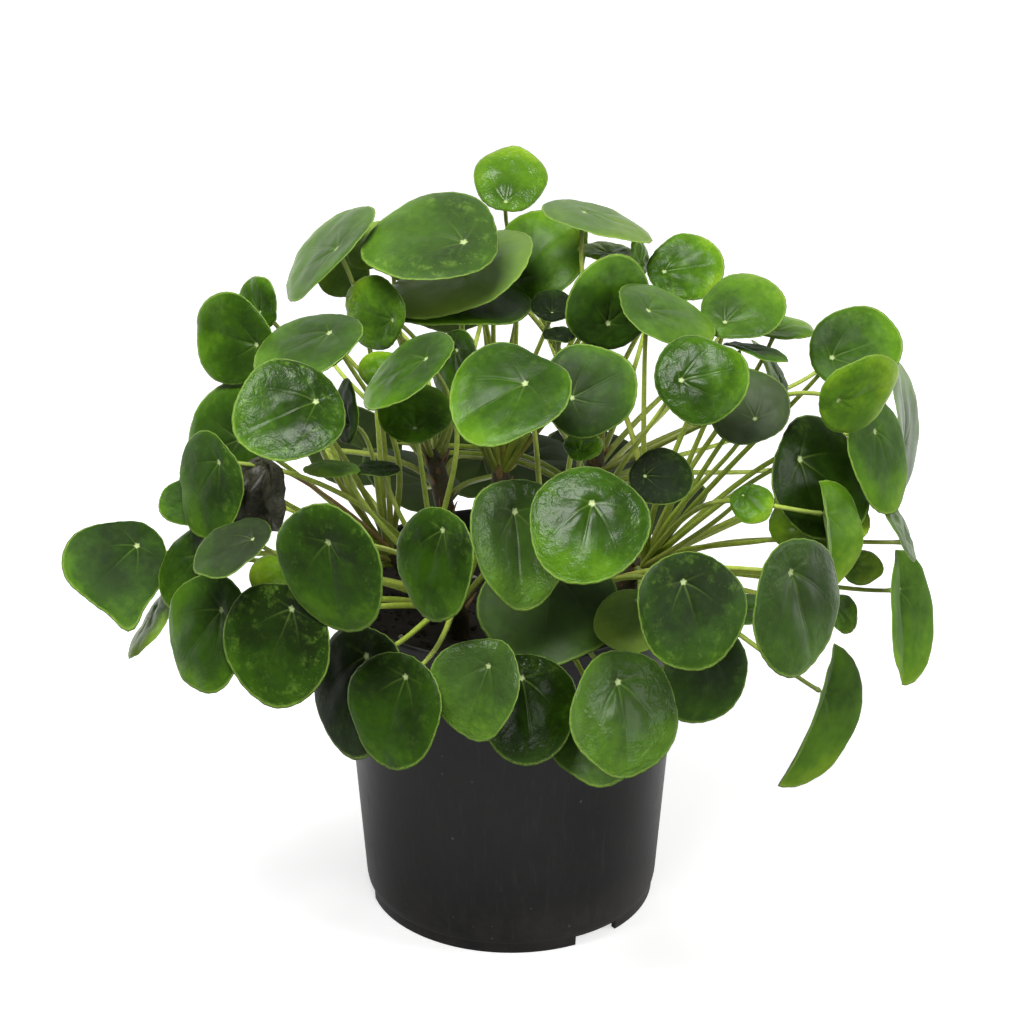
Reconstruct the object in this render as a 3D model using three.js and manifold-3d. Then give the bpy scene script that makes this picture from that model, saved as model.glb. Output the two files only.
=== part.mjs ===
// A round-leaved pilea in a plain black nursery pot.
//
// Millimetres, +Z up. The origin is on the floor under the middle of the pot, the
// front of the plant is -Y and its right is +X. A plant has no drawing, so its leaves
// are placed from how they look in one view from the front: each reading gives where a
// blade shows, how large and how open it looks and which way it leans, and the eye's
// own sizes turn that into a place, a radius and a tilt in millimetres.

import * as THREE from "three";
import { mergeVertices } from "three/addons/utils/BufferGeometryUtils.js";
import Module from "manifold-3d";

const wasm = await Module();
wasm.setup();

// Driving dimensions of the pot
const POT_HEIGHT = 238;
const RIM_RADIUS = 120;
const WALL_FOOT_RADIUS = 103;
const WALL_FOOT_HEIGHT = 14;
const WALL_THICKNESS = 2.2;
const LIP_THICKNESS = 3.6;
const LIP_HEIGHT = 9;
const LIP_OUT = 1.5;
const FOOT_RADIUS = 100.5;
const FOOT_HEIGHT = 8;
const FOOT_THICKNESS = 4;
const BASE_THICKNESS = 2.6;
const POT_SIDES = 40;

// Three notches in the foot ring let water out from the holes in the base
const NOTCH_COUNT = 3;
const NOTCH_WIDTH = 35;
const NOTCH_HEIGHT = 7;
const NOTCH_FIRST_ANGLE = 36.5;
const DRAIN_COUNT = 9;
const DRAIN_RADIUS = 5.5;
const DRAIN_CIRCLE = 82;

// Potting soil, filled to a little under the lip
const SOIL_TOP = 224;
const SOIL_UNEVEN = 2.4;
const GAP = 0.35;

// Stems
const STEM_RADIUS = 7;
const STEM_SIDES = 7;
const ROOT_DEPTH = 38;

// Blades. Cup and wave are heights in radii, and the hub's share is how far it lies from
// the middle in radii. Small and hidden blades do without the inner ring of corners.
const BLADE_THICKNESS = 0.9;
const BLADE_SIDES = 10;
const SMALL_BLADE = 27;
const INNER_RING = 0.55;
const CUP = { least: 0.07, most: 0.14 };
const WAVE = { least: 0.02, most: 0.05 };
const HUB_SHARE = { least: 0.22, most: 0.72 };
const TIP_POINT = 0.05;
const LOOKS_UP = 0.8;
const EDGE_ON = 0.3;

// Blades keep this far apart, and petioles keep a place free under each hub
const BLADE_GAP = 3.2;
const HUB_CLEAR = 6;
const SETTLE_ROUNDS = 160;
const SLIDE = 1.5;

// Petioles. Each leaves its stem rising and arrives nearly square to its blade.
const PETIOLE_RADIUS = 2.1;
const PETIOLE_SIDES = 3;
const PETIOLE_STEPS = 4;
const ROOT_SHARE = { level: 0.6, steeper: 0.32, loose: 0.08 };
const ROOT_OFF = 0.45;
const RISING = 0.75;
const ONWARD = 0.7;
const LOOSENESS = 0.7;
const SQUAREST = 0.72;
const FIRST_HANDLE = { least: 0.25, most: 0.5 };
const LAST_HANDLE = { least: 0.16, most: 0.4 };
const HUB_POKE = 0.2;

// Petioles are routed by drawing many and keeping the one that costs least. The costs are
// for touching something within the gap, hiding a blade, a crowded stem and a long way.
const PETIOLE_GAP = 1.6;
const POINTS_PER_STEP = 7;
const ROUTES_DRAWN = 30;
const ROUTE_ROUNDS = 3;
const CLEAR_COST = 3;
const TOUCH_COST = { ownBlade: 40, otherBlade: 80, ownPetiole: 4, otherPetiole: 60, stem: 60, pot: 80 };
const CROWDING = 0.12;
const LENGTH_COST = 0.03;
const OWN_BLADE_STRETCH = 24;
const OWN_STEM_STRETCH = 30;
const SOIL_STRETCH = 8;

// The eye that the readings were made from, in millimetres and degrees. PIXELS_PER_RADIAN
// is how far apart two sight lines one radian apart show.
const EYE_DISTANCE = 2300;
const EYE_ELEVATION = 25;
const EYE_TARGET_HEIGHT = 290;
const PIXELS_PER_RADIAN = 3370;
const MIDDLE = { x: 511, y: 512 };

// The foliage as a whole fills a dome
const DOME_MIDDLE_HEIGHT = 318;
const DOME = { x: 292, y: 260, z: 196 };

// Each leafy stem leaves the soil at `foot` and ends at its crown, where its leaves sit
const STEMS = [
  { name: "leafy_stem_middle", foot: [-4, 18], crown: [-8, 26, 318] },
  { name: "leafy_stem_left", foot: [-66, -8], crown: [-84, -22, 274] },
  { name: "leafy_stem_right", foot: [76, -12], crown: [92, -24, 266] },
  { name: "leafy_stem_front", foot: [22, -64], crown: [28, -78, 258] },
  { name: "leafy_stem_front_left", foot: [-34, -60], crown: [-40, -78, 260] },
  { name: "leafy_stem_back_left", foot: [-44, 66], crown: [-56, 82, 300] },
  { name: "leafy_stem_back_right", foot: [50, 58], crown: [62, 74, 306] },
];

// One reading of a blade in the front view. x and y are its middle, `half` is half its
// longest width and `open` half its shortest, all in pixels; `slant` is the fall of the
// longest width to the right, in degrees; `hubX` and `hubY` show where the petiole meets
// it; `inside` is how many millimetres it lies behind the front of the dome.
function seen(name, x, y, half, open, slant, hubX, hubY, inside, more = {}) {
  return { name, x, y, half, open, slant, hubX, hubY, inside, ...more };
}

const READINGS = [
  seen("top_young", 510, 179, 37, 32, 0, 505, 206, 20),
  seen("top_left_broad", 431, 239, 69, 43, -12, 464, 243, 5),
  seen("top_left_under", 462, 272, 78, 33, -25, 490, 262, 85),
  seen("top_middle", 540, 255, 50, 43, -35, 514, 279, 105),
  seen("top_left_low", 465, 303, 69, 25, 0, 480, 300, 125),
  seen("top_right_flat", 598, 220, 56, 14, 17, 594, 226, 20),
  seen("top_right_low", 610, 304, 48, 42, -60, 608, 323, 60),
  seen("top_right_side", 666, 314, 53, 24, 27, 647, 313, 30),
  seen("top_right_high", 686, 268, 38, 34, 0, 664, 271, 55),
  seen("right_top_outer", 743, 307, 43, 33, -5, 725, 322, 20),
  seen("right_top_small", 785, 327, 30, 12, 5, 775, 331, 70),
  seen("right_top_edge", 756, 351, 33, 6, 14, 745, 350, 60),
  seen("right_top_pale_edge", 771, 368, 33, 6, 60, 760, 352, 95),
  seen("right_glossy", 702, 377, 48, 46, 0, 681, 381, 0),
  seen("right_behind_glossy", 748, 406, 42, 38, 0, 755, 419, 60),
  seen("middle_right", 588, 390, 48, 47, 0, 572, 398, 40),
  seen("middle_top", 508, 393, 63, 50, -20, 525, 383, 0),
  seen("middle_left_slope", 407, 371, 55, 23, -40, 427, 360, 20),
  seen("left_crinkled", 375, 313, 38, 29, 80, 393, 320, 70),
  seen("middle_dark", 457, 368, 38, 24, 90, 457, 350, 95),
  seen("left_middle_dark", 415, 412, 38, 30, 0, 415, 428, 75),
  seen("left_backlit", 382, 370, 24, 20, 0, 388, 378, 90),
  seen("top_right_sliver", 606, 251, 28, 9, 5, 610, 254, 80),
  seen("top_right_upright", 640, 256, 20, 9, 80, 640, 264, 60),
  seen("middle_small_dark", 552, 305, 22, 16, 0, 552, 312, 120),
  seen("middle_small_flat", 559, 334, 17, 7, 0, 559, 337, 95),
  seen("top_left_grey", 378, 243, 35, 22, -20, 392, 246, 60),
  seen("top_left_back", 343, 272, 27, 26, 0, 352, 280, 95),
  seen("left_top_outer", 327, 250, 62, 19, -47, 338, 250, 20),
  seen("left_high", 232, 338, 47, 37, 80, 255, 345, 0),
  seen("left_high_folded", 257, 304, 28, 20, 90, 260, 312, 45),
  seen("left_high_slope", 306, 347, 58, 30, -25, 330, 334, 30),
  seen("left_broad", 289, 412, 56, 51, 0, 316, 400, 0),
  seen("left_behind_broad", 229, 432, 54, 38, 108, 240, 440, 50),
  seen("left_outer", 208, 485, 55, 31, 85, 220, 462, 15),
  seen("left_outer_light", 187, 502, 27, 24, 0, 197, 500, 70),
  seen("left_inner_small", 240, 468, 28, 22, 0, 250, 474, 75),
  seen("left_low_grey", 232, 548, 43, 23, -32, 252, 538, 20),
  seen("left_low_dark", 190, 568, 45, 28, 110, 200, 556, 55),
  seen("left_low_edge", 152, 622, 42, 9, -58, 160, 612, 45),
  seen("far_left", 117, 565, 52, 47, 0, 137, 545, 0, { point: 0.2, pointTurn: -55 }),
  seen("left_hanging", 207, 632, 60, 40, 90, 222, 610, 20),
  seen("left_hanging_front", 278, 643, 63, 53, 75, 291, 609, 0),
  seen("left_front", 332, 567, 68, 48, 60, 329, 542, 0),
  seen("left_behind_front", 275, 575, 26, 22, 0, 284, 570, 70),
  seen("front_left_upright", 436, 563, 57, 38, 85, 443, 530, 15),
  seen("front_middle", 519, 541, 65, 51, 80, 517, 511, 35),
  seen("front_round", 588, 524, 61, 58, 0, 592, 504, 10),
  seen("front_dark", 548, 604, 72, 60, 0, 552, 574, 75),
  seen("front_right_grey", 632, 620, 38, 32, 0, 637, 600, 60),
  seen("front_right_broad", 691, 610, 59, 55, 90, 683, 582, 0),
  seen("front_right_dark", 704, 672, 53, 42, 110, 706, 650, 35),
  seen("front_wrinkled", 622, 714, 63, 54, 90, 619, 682, 0),
  seen("front_under_wrinkled", 598, 738, 50, 45, 0, 600, 712, 32),
  seen("front_low", 526, 708, 55, 51, 90, 522, 678, 20),
  seen("front_low_left", 478, 688, 51, 45, 90, 486, 666, 0),
  seen("front_left_low", 396, 710, 59, 46, 80, 405, 677, 0),
  seen("front_left_dark", 360, 690, 66, 46, 90, 368, 656, 30),
  seen("right_inner_dark", 661, 477, 32, 29, 0, 645, 476, 85),
  seen("left_inner_edge", 378, 468, 23, 8, 0, 384, 470, 95),
  seen("left_inner_flat", 332, 468, 28, 8, 0, 342, 470, 80),
  seen("left_inner_upright", 346, 412, 33, 11, 90, 350, 424, 80),
  seen("middle_inner_glossy", 583, 445, 20, 14, 0, 580, 452, 75),
  seen("far_right_high", 856, 349, 46, 43, 0, 832, 357, 25),
  seen("far_right_slope", 859, 393, 47, 30, -45, 838, 400, 0),
  seen("far_right", 879, 453, 60, 28, 80, 872, 432, 20),
  seen("far_right_pale", 903, 430, 70, 10, 88, 900, 455, 60),
  seen("far_right_edge", 899, 528, 38, 6, 65, 893, 516, 35),
  seen("right_dark", 820, 478, 64, 46, 75, 797, 460, 50),
  seen("right_dark_low", 818, 522, 50, 32, 0, 792, 530, 85),
  seen("right_hanging", 797, 606, 70, 42, 100, 789, 572, 5),
  seen("right_folded", 826, 536, 55, 19, 91, 825, 514, 20, { fold: 18 }),
  seen("right_young", 752, 503, 22, 20, 0, 743, 495, 60),
  seen("far_right_folded", 896, 618, 66, 23, 88, 895, 590, 10, { fold: 21 }),
  seen("right_low_folded", 812, 717, 75, 23, 113, 822, 692, 0, { fold: 15 }),
  seen("right_inner_grey", 862, 567, 20, 18, 0, 852, 566, 85),
  seen("right_inner_small", 844, 614, 20, 14, 80, 838, 606, 75),
  seen("right_inner_flat", 750, 610, 38, 15, 0, 738, 612, 75),
];

// The far side of the plant doesn't show from the front. Each of these near blades hides
// others of nearly its size on its own sight line, which face the other way. The shares
// say where they lie between the front of the dome and its back.
const HIDDEN_SIZE = 0.93;
const HIDDEN_LOWEST = 248;
const HIDDEN_OPEN = { least: 0.45, most: 0.85 };
const HIDDEN_SLANT = 30;
const HIDES_OTHERS = [
  ["top_left_broad", [0.6]],
  ["top_left_under", [0.66, 0.98]],
  ["top_middle", [0.4, 0.8]],
  ["top_left_low", [0.5]],
  ["top_right_low", [0.62, 0.98]],
  ["top_right_high", [0.55, 1.02]],
  ["right_top_outer", [0.78]],
  ["left_high_slope", [0.66, 1]],
  ["left_crinkled", [0.56, 1.06]],
  ["left_high", [0.86]],
  ["right_glossy", [1.04]],
  ["right_behind_glossy", [0.92]],
  ["middle_right", [1.02]],
  ["middle_top", [0.995]],
  ["left_broad", [1.06]],
  ["left_behind_broad", [0.95]],
  ["left_outer", [0.86]],
  ["right_dark", [0.95]],
  ["far_right_high", [0.9]],
  ["far_right", [0.85]],
  ["left_middle_dark", [0.84]],
  ["right_inner_dark", [0.86]],
];

// Far blades that show darkly between the petioles, by the pixels that they show at
const BETWEEN_SIZE = 54;
const BETWEEN_INSIDE = 0.9;
const SHOW_BETWEEN = [
  [352, 446],
  [412, 478],
  [470, 452],
  [532, 462],
  [598, 458],
  [655, 505],
  [440, 415],
];

// Seeded random numbers between 0 and 1, the same on every run
const SEED = 6344;

function seededDraw(seed) {
  let state = seed;
  return () => {
    state = (state * 16807) % 2147483647;
    return state / 2147483647;
  };
}

const draw = seededDraw(SEED);
const drawn = ({ least, most }) => least + (most - least) * draw();
const vec = (x, y, z) => new THREE.Vector3(x, y, z);
const radians = THREE.MathUtils.degToRad;
const UP = vec(0, 0, 1);

// The eye and its sight lines
const eyeBack = vec(0, -Math.cos(radians(EYE_ELEVATION)), Math.sin(radians(EYE_ELEVATION)));
const eyeRight = vec(1, 0, 0);
const eyeUp = eyeBack.clone().cross(eyeRight);
const eye = vec(0, 0, EYE_TARGET_HEIGHT).addScaledVector(eyeBack, EYE_DISTANCE);

function sightLine(x, y) {
  return eyeBack
    .clone()
    .negate()
    .addScaledVector(eyeRight, (x - MIDDLE.x) / PIXELS_PER_RADIAN)
    .addScaledVector(eyeUp, (MIDDLE.y - y) / PIXELS_PER_RADIAN);
}

// Depths at which a sight line enters and leaves the dome, or passes nearest to it
function domeDepths(line) {
  const from = eye.clone().sub(vec(0, 0, DOME_MIDDLE_HEIGHT));
  const squash = (v) => vec(v.x / DOME.x, v.y / DOME.y, v.z / DOME.z);
  const start = squash(from);
  const along = squash(line);
  const a = along.lengthSq();
  const b = start.dot(along);
  const c = start.lengthSq() - 1;
  const half = Math.sqrt(Math.max(0, b * b - a * c));
  return { enters: (-b - half) / a, leaves: (-b + half) / a };
}

// A blade's own frame: `side` and `tip` lie in it and `normal` is its upper side
function bladeFrom(reading) {
  const line = sightLine(reading.x, reading.y);
  const { enters, leaves } = domeDepths(line);
  const lowest = (eye.z - HIDDEN_LOWEST) / -line.z;
  const depth = reading.hidden
    ? Math.min(enters + (leaves - enters) * reading.inside, lowest)
    : enters + reading.inside;
  const middle = eye.clone().addScaledVector(line, depth);
  const toEye = line.clone().normalize().negate();
  const across = eyeRight.clone().cross(toEye).cross(toEye).negate().normalize();
  const upward = toEye.clone().cross(across);
  const slant = radians(reading.slant);
  const major = across.clone().multiplyScalar(Math.cos(slant));
  major.addScaledVector(upward, -Math.sin(slant));
  const minor = toEye.clone().cross(major);
  const shows = reading.open / reading.half;
  const leans = Math.sqrt(1 - shows * shows);
  const facing = reading.hidden ? -1 : 1;
  const outward = vec(middle.x, middle.y, 0).normalize().addScaledVector(UP, LOOKS_UP);
  const lean = minor.dot(outward) < 0 ? -1 : 1;
  const normal = toEye.clone().multiplyScalar(facing * shows);
  normal.addScaledVector(minor, lean * leans);

  // The hub is off the middle, so the tip lies the other way
  const hubLine = sightLine(reading.hubX, reading.hubY);
  const reach = middle.clone().sub(eye).dot(normal) / hubLine.dot(normal);
  const offset = eye.clone().addScaledVector(hubLine, reach).sub(middle);
  if (shows < EDGE_ON || offset.length() < 1) {
    offset.copy(major).multiplyScalar(Math.sign(major.dot(outward)) * -10);
  }
  const tip = offset.clone().addScaledVector(normal, -offset.dot(normal)).normalize().negate();
  const side = tip.clone().cross(normal);
  const radius = (reading.half * depth) / PIXELS_PER_RADIAN;
  return {
    name: reading.name,
    hidden: reading.hidden,
    line,
    depth,
    half: reading.half,
    hubShare: THREE.MathUtils.clamp(offset.length() / radius, HUB_SHARE.least, HUB_SHARE.most),
    side,
    tip,
    normal,
    fold: radians(reading.fold ?? 0),
    point: reading.point ?? TIP_POINT,
    pointTurn: radians(reading.pointTurn ?? 0),
    cup: drawn(CUP),
    wave: drawn(WAVE),
    phase: 2 * Math.PI * draw(),
  };
}

function middleOf(blade) {
  return eye.clone().addScaledVector(blade.line, blade.depth);
}

function radiusOf(blade) {
  return (blade.half * blade.depth) / PIXELS_PER_RADIAN;
}

// Height of a blade's middle surface over its own plane, with u and v in radii
function bladeRise(blade, u, v) {
  const flat = u * u + v * v;
  const turn = Math.atan2(v, u);
  const rise = blade.cup * (1 - flat) + blade.wave * flat * Math.cos(2 * turn + blade.phase);
  return rise + Math.abs(u) * Math.sin(blade.fold);
}

function bladePoint(blade, u, v, above = 0) {
  const radius = radiusOf(blade);
  return middleOf(blade)
    .addScaledVector(blade.side, u * radius * Math.cos(blade.fold))
    .addScaledVector(blade.tip, v * radius)
    .addScaledVector(blade.normal, bladeRise(blade, u, v) * radius + above);
}

// Rings of corners from a blade's middle to its edge, in radii
function ringsOf(blade) {
  const plain = blade.hidden || radiusOf(blade) < SMALL_BLADE;
  return plain ? [0, 1] : [0, INNER_RING, 1];
}

// The hub, on the blade's own facet
function hubOf(blade) {
  const rings = ringsOf(blade);
  const outer = rings.findIndex((ring) => ring > blade.hubShare);
  const from = rings[outer - 1];
  const share = (blade.hubShare - from) / (rings[outer] - from);
  return bladePoint(blade, 0, -from).lerp(bladePoint(blade, 0, -rings[outer]), share);
}

// Points spread over a blade, in radii, used to keep blades apart
const SPREAD = [[0, 0]];
for (const [share, count] of [[0.35, 7], [0.7, 12], [1, 22]]) {
  for (let i = 0; i < count; i += 1) {
    const turn = (2 * Math.PI * i) / count;
    SPREAD.push([share * Math.cos(turn), share * Math.sin(turn)]);
  }
}

// Where a point stands over or beside a blade: its height over the surface where it lies
// within the outline, and its distance to the edge where it lies outside
function against(blade, middle, radius, point) {
  const away = point.clone().sub(middle);
  const u = away.dot(blade.side) / (radius * Math.cos(blade.fold));
  const v = away.dot(blade.tip) / radius;
  const share = Math.hypot(u, v);
  const over = away.dot(blade.normal);
  if (share <= 1.04) {
    const rise = over - bladeRise(blade, u, v) * radius;
    return { within: true, over: rise, side: Math.sign(rise) };
  }
  const edge = over - bladeRise(blade, u / share, v / share) * radius;
  const side = share < 1.25 ? Math.sign(edge) : 0;
  return { within: false, over: Math.hypot((share - 1) * radius, edge), side };
}

// Two blades clash where one lies partly over and partly under the other, or too near
function clash(first, second) {
  const middle = middleOf(second);
  const radius = radiusOf(second);
  let above = false;
  let below = false;
  const under = hubOf(first).addScaledVector(first.normal, -HUB_CLEAR);
  for (const point of [under, ...SPREAD.map(([u, v]) => bladePoint(first, u, v))]) {
    const { within, over } = against(second, middle, radius, point);
    if (!within) {
      if (over < BLADE_GAP) {
        return true;
      }
    } else if (over > BLADE_GAP) {
      above = true;
    } else if (over < -BLADE_GAP) {
      below = true;
    } else {
      return true;
    }
  }
  return above && below;
}

// Distance from a point to the pot and the soil, less than nothing inside them
function overPot(point) {
  const out = Math.hypot(point.x, point.y);
  const wall = wallRadius(point.z) + 1;
  const inner = wall - LIP_THICKNESS - 2;
  const overLip = point.z - POT_HEIGHT;
  if (out > wall) {
    return Math.hypot(out - wall, Math.max(0, overLip));
  }
  if (out > inner) {
    return overLip;
  }
  return Math.max(overLip, Math.min(inner - out, point.z - SOIL_TOP - SOIL_UNEVEN));
}

function wallRadius(height) {
  const share = (height - WALL_FOOT_HEIGHT) / (POT_HEIGHT - WALL_FOOT_HEIGHT);
  return WALL_FOOT_RADIUS + (RIM_RADIUS - WALL_FOOT_RADIUS) * share;
}

// Blades that clash slide apart along their sight lines, the nearer one to the front, so
// that each still shows where it was read
function settle(blades) {
  const order = blades.map((blade) => blade.depth);
  for (let round = 0; round < SETTLE_ROUNDS; round += 1) {
    let moved = 0;
    for (let i = 0; i < blades.length; i += 1) {
      for (let j = i + 1; j < blades.length; j += 1) {
        const apart = middleOf(blades[i]).distanceTo(middleOf(blades[j]));
        if (apart > radiusOf(blades[i]) + radiusOf(blades[j]) + BLADE_GAP) {
          continue;
        }
        if (clash(blades[i], blades[j]) || clash(blades[j], blades[i])) {
          const step = order[i] < order[j] ? SLIDE : -SLIDE;
          blades[i].depth -= step;
          blades[j].depth += step;
          moved += 1;
        }
      }
      const overs = SPREAD.map(([u, v]) => overPot(bladePoint(blades[i], u, v)));
      if (Math.min(...overs) < BLADE_GAP) {
        blades[i].depth -= middleOf(blades[i]).y < 0 ? SLIDE : -SLIDE;
        moved += 1;
      }
    }
    if (moved === 0) {
      return;
    }
  }
}

// A stem rises straight out of the soil and leans over to its crown
function stemCurve(stem) {
  const [x, y] = stem.foot;
  const crown = vec(...stem.crown);
  const bend = vec(x, y, (SOIL_TOP + crown.z) / 2);
  return new THREE.QuadraticBezierCurve3(vec(x, y, SOIL_TOP + 2), bend, crown);
}

const STEM_POINTS = new Map(STEMS.map((stem) => [stem.name, stemCurve(stem).getPoints(10)]));

function fromStem(stem, point) {
  return Math.min(...STEM_POINTS.get(stem.name).map((place) => place.distanceTo(point)));
}

// A petiole is a curve from its stem's crown to the underside of its blade at the hub
function petioleCurve(blade, stem) {
  const hub = hubOf(blade);
  const travel = hub.clone().sub(vec(...stem.crown));
  const steep = THREE.MathUtils.clamp(travel.z / travel.length(), -0.4, 0.9);
  const heading = vec(travel.x, travel.y, 0).normalize();
  const rootShare = ROOT_SHARE.level + ROOT_SHARE.steeper * steep + ROOT_SHARE.loose * draw();
  const root = stemCurve(stem).getPoint(rootShare);
  root.addScaledVector(heading, STEM_RADIUS * ROOT_OFF);
  const length = hub.distanceTo(root);
  travel.normalize();
  const loose = () => vec(draw() - 0.5, draw() - 0.5, draw() - 0.5);
  const leaving = vec(travel.x, travel.y, Math.max(travel.z, 0.1) + RISING).normalize();
  leaving.addScaledVector(loose(), LOOSENESS).normalize();
  const arriving = blade.normal.clone().addScaledVector(travel, ONWARD);
  arriving.addScaledVector(loose(), LOOSENESS).normalize();
  const square = arriving.dot(blade.normal);
  if (square < SQUAREST) {
    arriving.addScaledVector(blade.normal, 1.4 * (SQUAREST - square)).normalize();
  }
  return new THREE.CubicBezierCurve3(
    root,
    root.clone().addScaledVector(leaving, length * drawn(FIRST_HANDLE)),
    hub.clone().addScaledVector(arriving, -length * drawn(LAST_HANDLE)),
    hub.addScaledVector(arriving, HUB_POKE),
  );
}

// Points along the straight steps that a petiole is made of
function alongSteps(curve, perStep) {
  const knots = curve.getSpacedPoints(PETIOLE_STEPS);
  const points = [knots[0]];
  for (let i = 1; i < knots.length; i += 1) {
    for (let j = 1; j <= perStep; j += 1) {
      points.push(knots[i - 1].clone().lerp(knots[i], j / perStep));
    }
  }
  return points;
}

// How near a petiole runs to everything placed so far, and how much it hides. Its first
// stretch lies among its own stem's other petioles and its last at its own blade.
function petioleCost(curve, blade, stem, blades, routed) {
  const points = alongSteps(curve, POINTS_PER_STEP);
  const length = curve.getLength();
  let touches = 0;
  let hides = 0;
  const sides = new Map();
  points.forEach((point, i) => {
    const gone = (length * i) / (points.length - 1);
    const left = length - gone;
    for (const other of blades) {
      if (other.name === blade.name && left < OWN_BLADE_STRETCH) {
        continue;
      }
      const most = other.stem === stem.name ? TOUCH_COST.ownBlade : TOUCH_COST.otherBlade;
      const stands = against(other, other.middle, other.radius, point);
      touches += shortfall(Math.abs(stands.over) - PETIOLE_RADIUS, most);
      if (stands.side * (sides.get(other.name) ?? 0) < 0) {
        touches += 2 * most;
      }
      sides.set(other.name, stands.side);
      const reach = other.middle.clone().sub(point).dot(other.normal) / eyeBack.dot(other.normal);
      if (reach < 0) {
        const behind = point.clone().addScaledVector(eyeBack, reach);
        if (behind.distanceTo(other.middle) < other.radius * 0.95 && other.hidden !== true) {
          hides += 1;
        }
      }
    }
    for (const other of routed) {
      const sameStem = other.stem === stem.name;
      if (sameStem && gone < OWN_STEM_STRETCH) {
        continue;
      }
      const most = sameStem ? TOUCH_COST.ownPetiole : TOUCH_COST.otherPetiole;
      for (const theirs of other.points) {
        const over = point.distanceTo(theirs) - 2 * PETIOLE_RADIUS;
        touches += shortfall(over, most);
      }
    }
    for (const other of STEMS) {
      if (other.name !== stem.name) {
        const over = fromStem(other, point) - STEM_RADIUS - PETIOLE_RADIUS;
        touches += shortfall(over, TOUCH_COST.stem);
      }
    }
    if (gone > SOIL_STRETCH) {
      touches += shortfall(overPot(point) - PETIOLE_RADIUS, TOUCH_COST.pot);
    }
  });
  return { touches, hides };
}

// What being nearer than the gap costs, growing to `most` for touching
function shortfall(over, most) {
  return over < PETIOLE_GAP ? most * Math.min(2, (PETIOLE_GAP - over) / PETIOLE_GAP) : 0;
}

// Every blade gets the cheapest of many drawn routes, from the crowns nearest to it. In
// the later rounds the routes that still run too near to something are drawn again.
function routePetioles(blades) {
  const routes = new Map();
  const reach = (blade, stem) => blade.middle.distanceTo(vec(...stem.crown));
  const nearest = (blade) => Math.min(...STEMS.map((stem) => reach(blade, stem)));
  const load = (stem) => [...routes.values()].filter((route) => route.stem === stem.name).length;
  for (const blade of blades) {
    blade.middle = middleOf(blade);
    blade.radius = radiusOf(blade);
  }
  const order = [...blades].sort((a, b) => nearest(a) - nearest(b));
  for (let round = 0; round < ROUTE_ROUNDS; round += 1) {
    for (const blade of order) {
      const before = routes.get(blade.name);
      if (before && before.clear) {
        continue;
      }
      routes.delete(blade.name);
      const others = [...routes.values()];
      const stems = [...STEMS].sort((a, b) => reach(blade, a) - reach(blade, b)).slice(0, 3 + round);
      let best = { cost: Infinity };
      for (const stem of stems) {
        const crowding = CROWDING * load(stem);
        for (let i = 0; i < ROUTES_DRAWN * (1 + 2 * round); i += 1) {
          const curve = petioleCurve(blade, stem);
          const { touches, hides } = petioleCost(curve, blade, stem, blades, others);
          const cost = touches + hides + crowding + LENGTH_COST * curve.getLength();
          if (cost < best.cost) {
            best = { cost, curve, stem: stem.name, blade, clear: touches < CLEAR_COST };
          }
        }
      }
      best.points = alongSteps(best.curve, 2 * POINTS_PER_STEP);
      blade.stem = best.stem;
      routes.set(blade.name, best);
    }
  }
  return [...routes.values()];
}

const near = READINGS.map((reading) => bladeFrom(reading));

// How far a reading's outline reaches from its middle along a slant
function reachAlong(reading, slant) {
  const turn = radians(slant - reading.slant);
  return 1 / Math.hypot(Math.cos(turn) / reading.half, Math.sin(turn) / reading.open);
}

// A blade of the far side faces away, leans as the draw says and shows within the outline
// of the reading that it is made from
function farBlade(reading) {
  const slant = HIDDEN_SLANT * (2 * draw() - 1);
  const half = HIDDEN_SIZE * reachAlong(reading, slant);
  const widest = HIDDEN_SIZE * reachAlong(reading, slant + 90);
  const open = Math.min(half * drawn(HIDDEN_OPEN), widest);
  return bladeFrom({ ...reading, half, open, slant, hidden: true, fold: 0 });
}

const hidden = HIDES_OTHERS.flatMap(([name, shares]) => {
  const before = READINGS.find((reading) => reading.name === name);
  const places = shares.map((inside, i) => ({ inside, name: `behind_${name}_${i + 1}` }));
  return places.map((place) => farBlade({ ...before, ...place }));
});
const between = SHOW_BETWEEN.map(([x, y], i) => {
  const sizes = { half: BETWEEN_SIZE, open: BETWEEN_SIZE, slant: 0, inside: BETWEEN_INSIDE };
  return farBlade({ x, y, hubX: x, hubY: y, ...sizes, name: `between_petioles_${i + 1}` });
});

const blades = [...near, ...hidden, ...between];
settle(blades);
const petioles = routePetioles(blades);

// Solids

function solidFrom(geometry) {
  const bare = geometry.clone();
  bare.deleteAttribute("normal");
  bare.deleteAttribute("uv");
  const merged = mergeVertices(bare, 1e-4);
  const vertProperties = new Float32Array(merged.attributes.position.array);
  const triVerts = new Uint32Array(merged.index.array);
  return new wasm.Manifold(new wasm.Mesh({ numProp: 3, vertProperties, triVerts }));
}

function meshFrom(name, solid, material) {
  const { vertProperties, triVerts } = solid.getMesh();
  const geometry = new THREE.BufferGeometry();
  geometry.setAttribute("position", new THREE.BufferAttribute(vertProperties, 3));
  geometry.setIndex(new THREE.BufferAttribute(triVerts, 1));
  geometry.computeVertexNormals();
  const mesh = new THREE.Mesh(geometry, material);
  mesh.name = name;
  return mesh;
}

// Turned solids come out with their axis on Y, so they are stood up on Z
function turned(profile, sides) {
  const points = profile.map(([radius, height]) => new THREE.Vector2(radius, height));
  return new THREE.LatheGeometry(points, sides).rotateX(Math.PI / 2);
}

function column(x, y, from, to, radius, sides) {
  const geometry = new THREE.CylinderGeometry(radius, radius, to - from, sides);
  geometry.rotateX(Math.PI / 2).translate(x, y, (from + to) / 2);
  return solidFrom(geometry);
}

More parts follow.
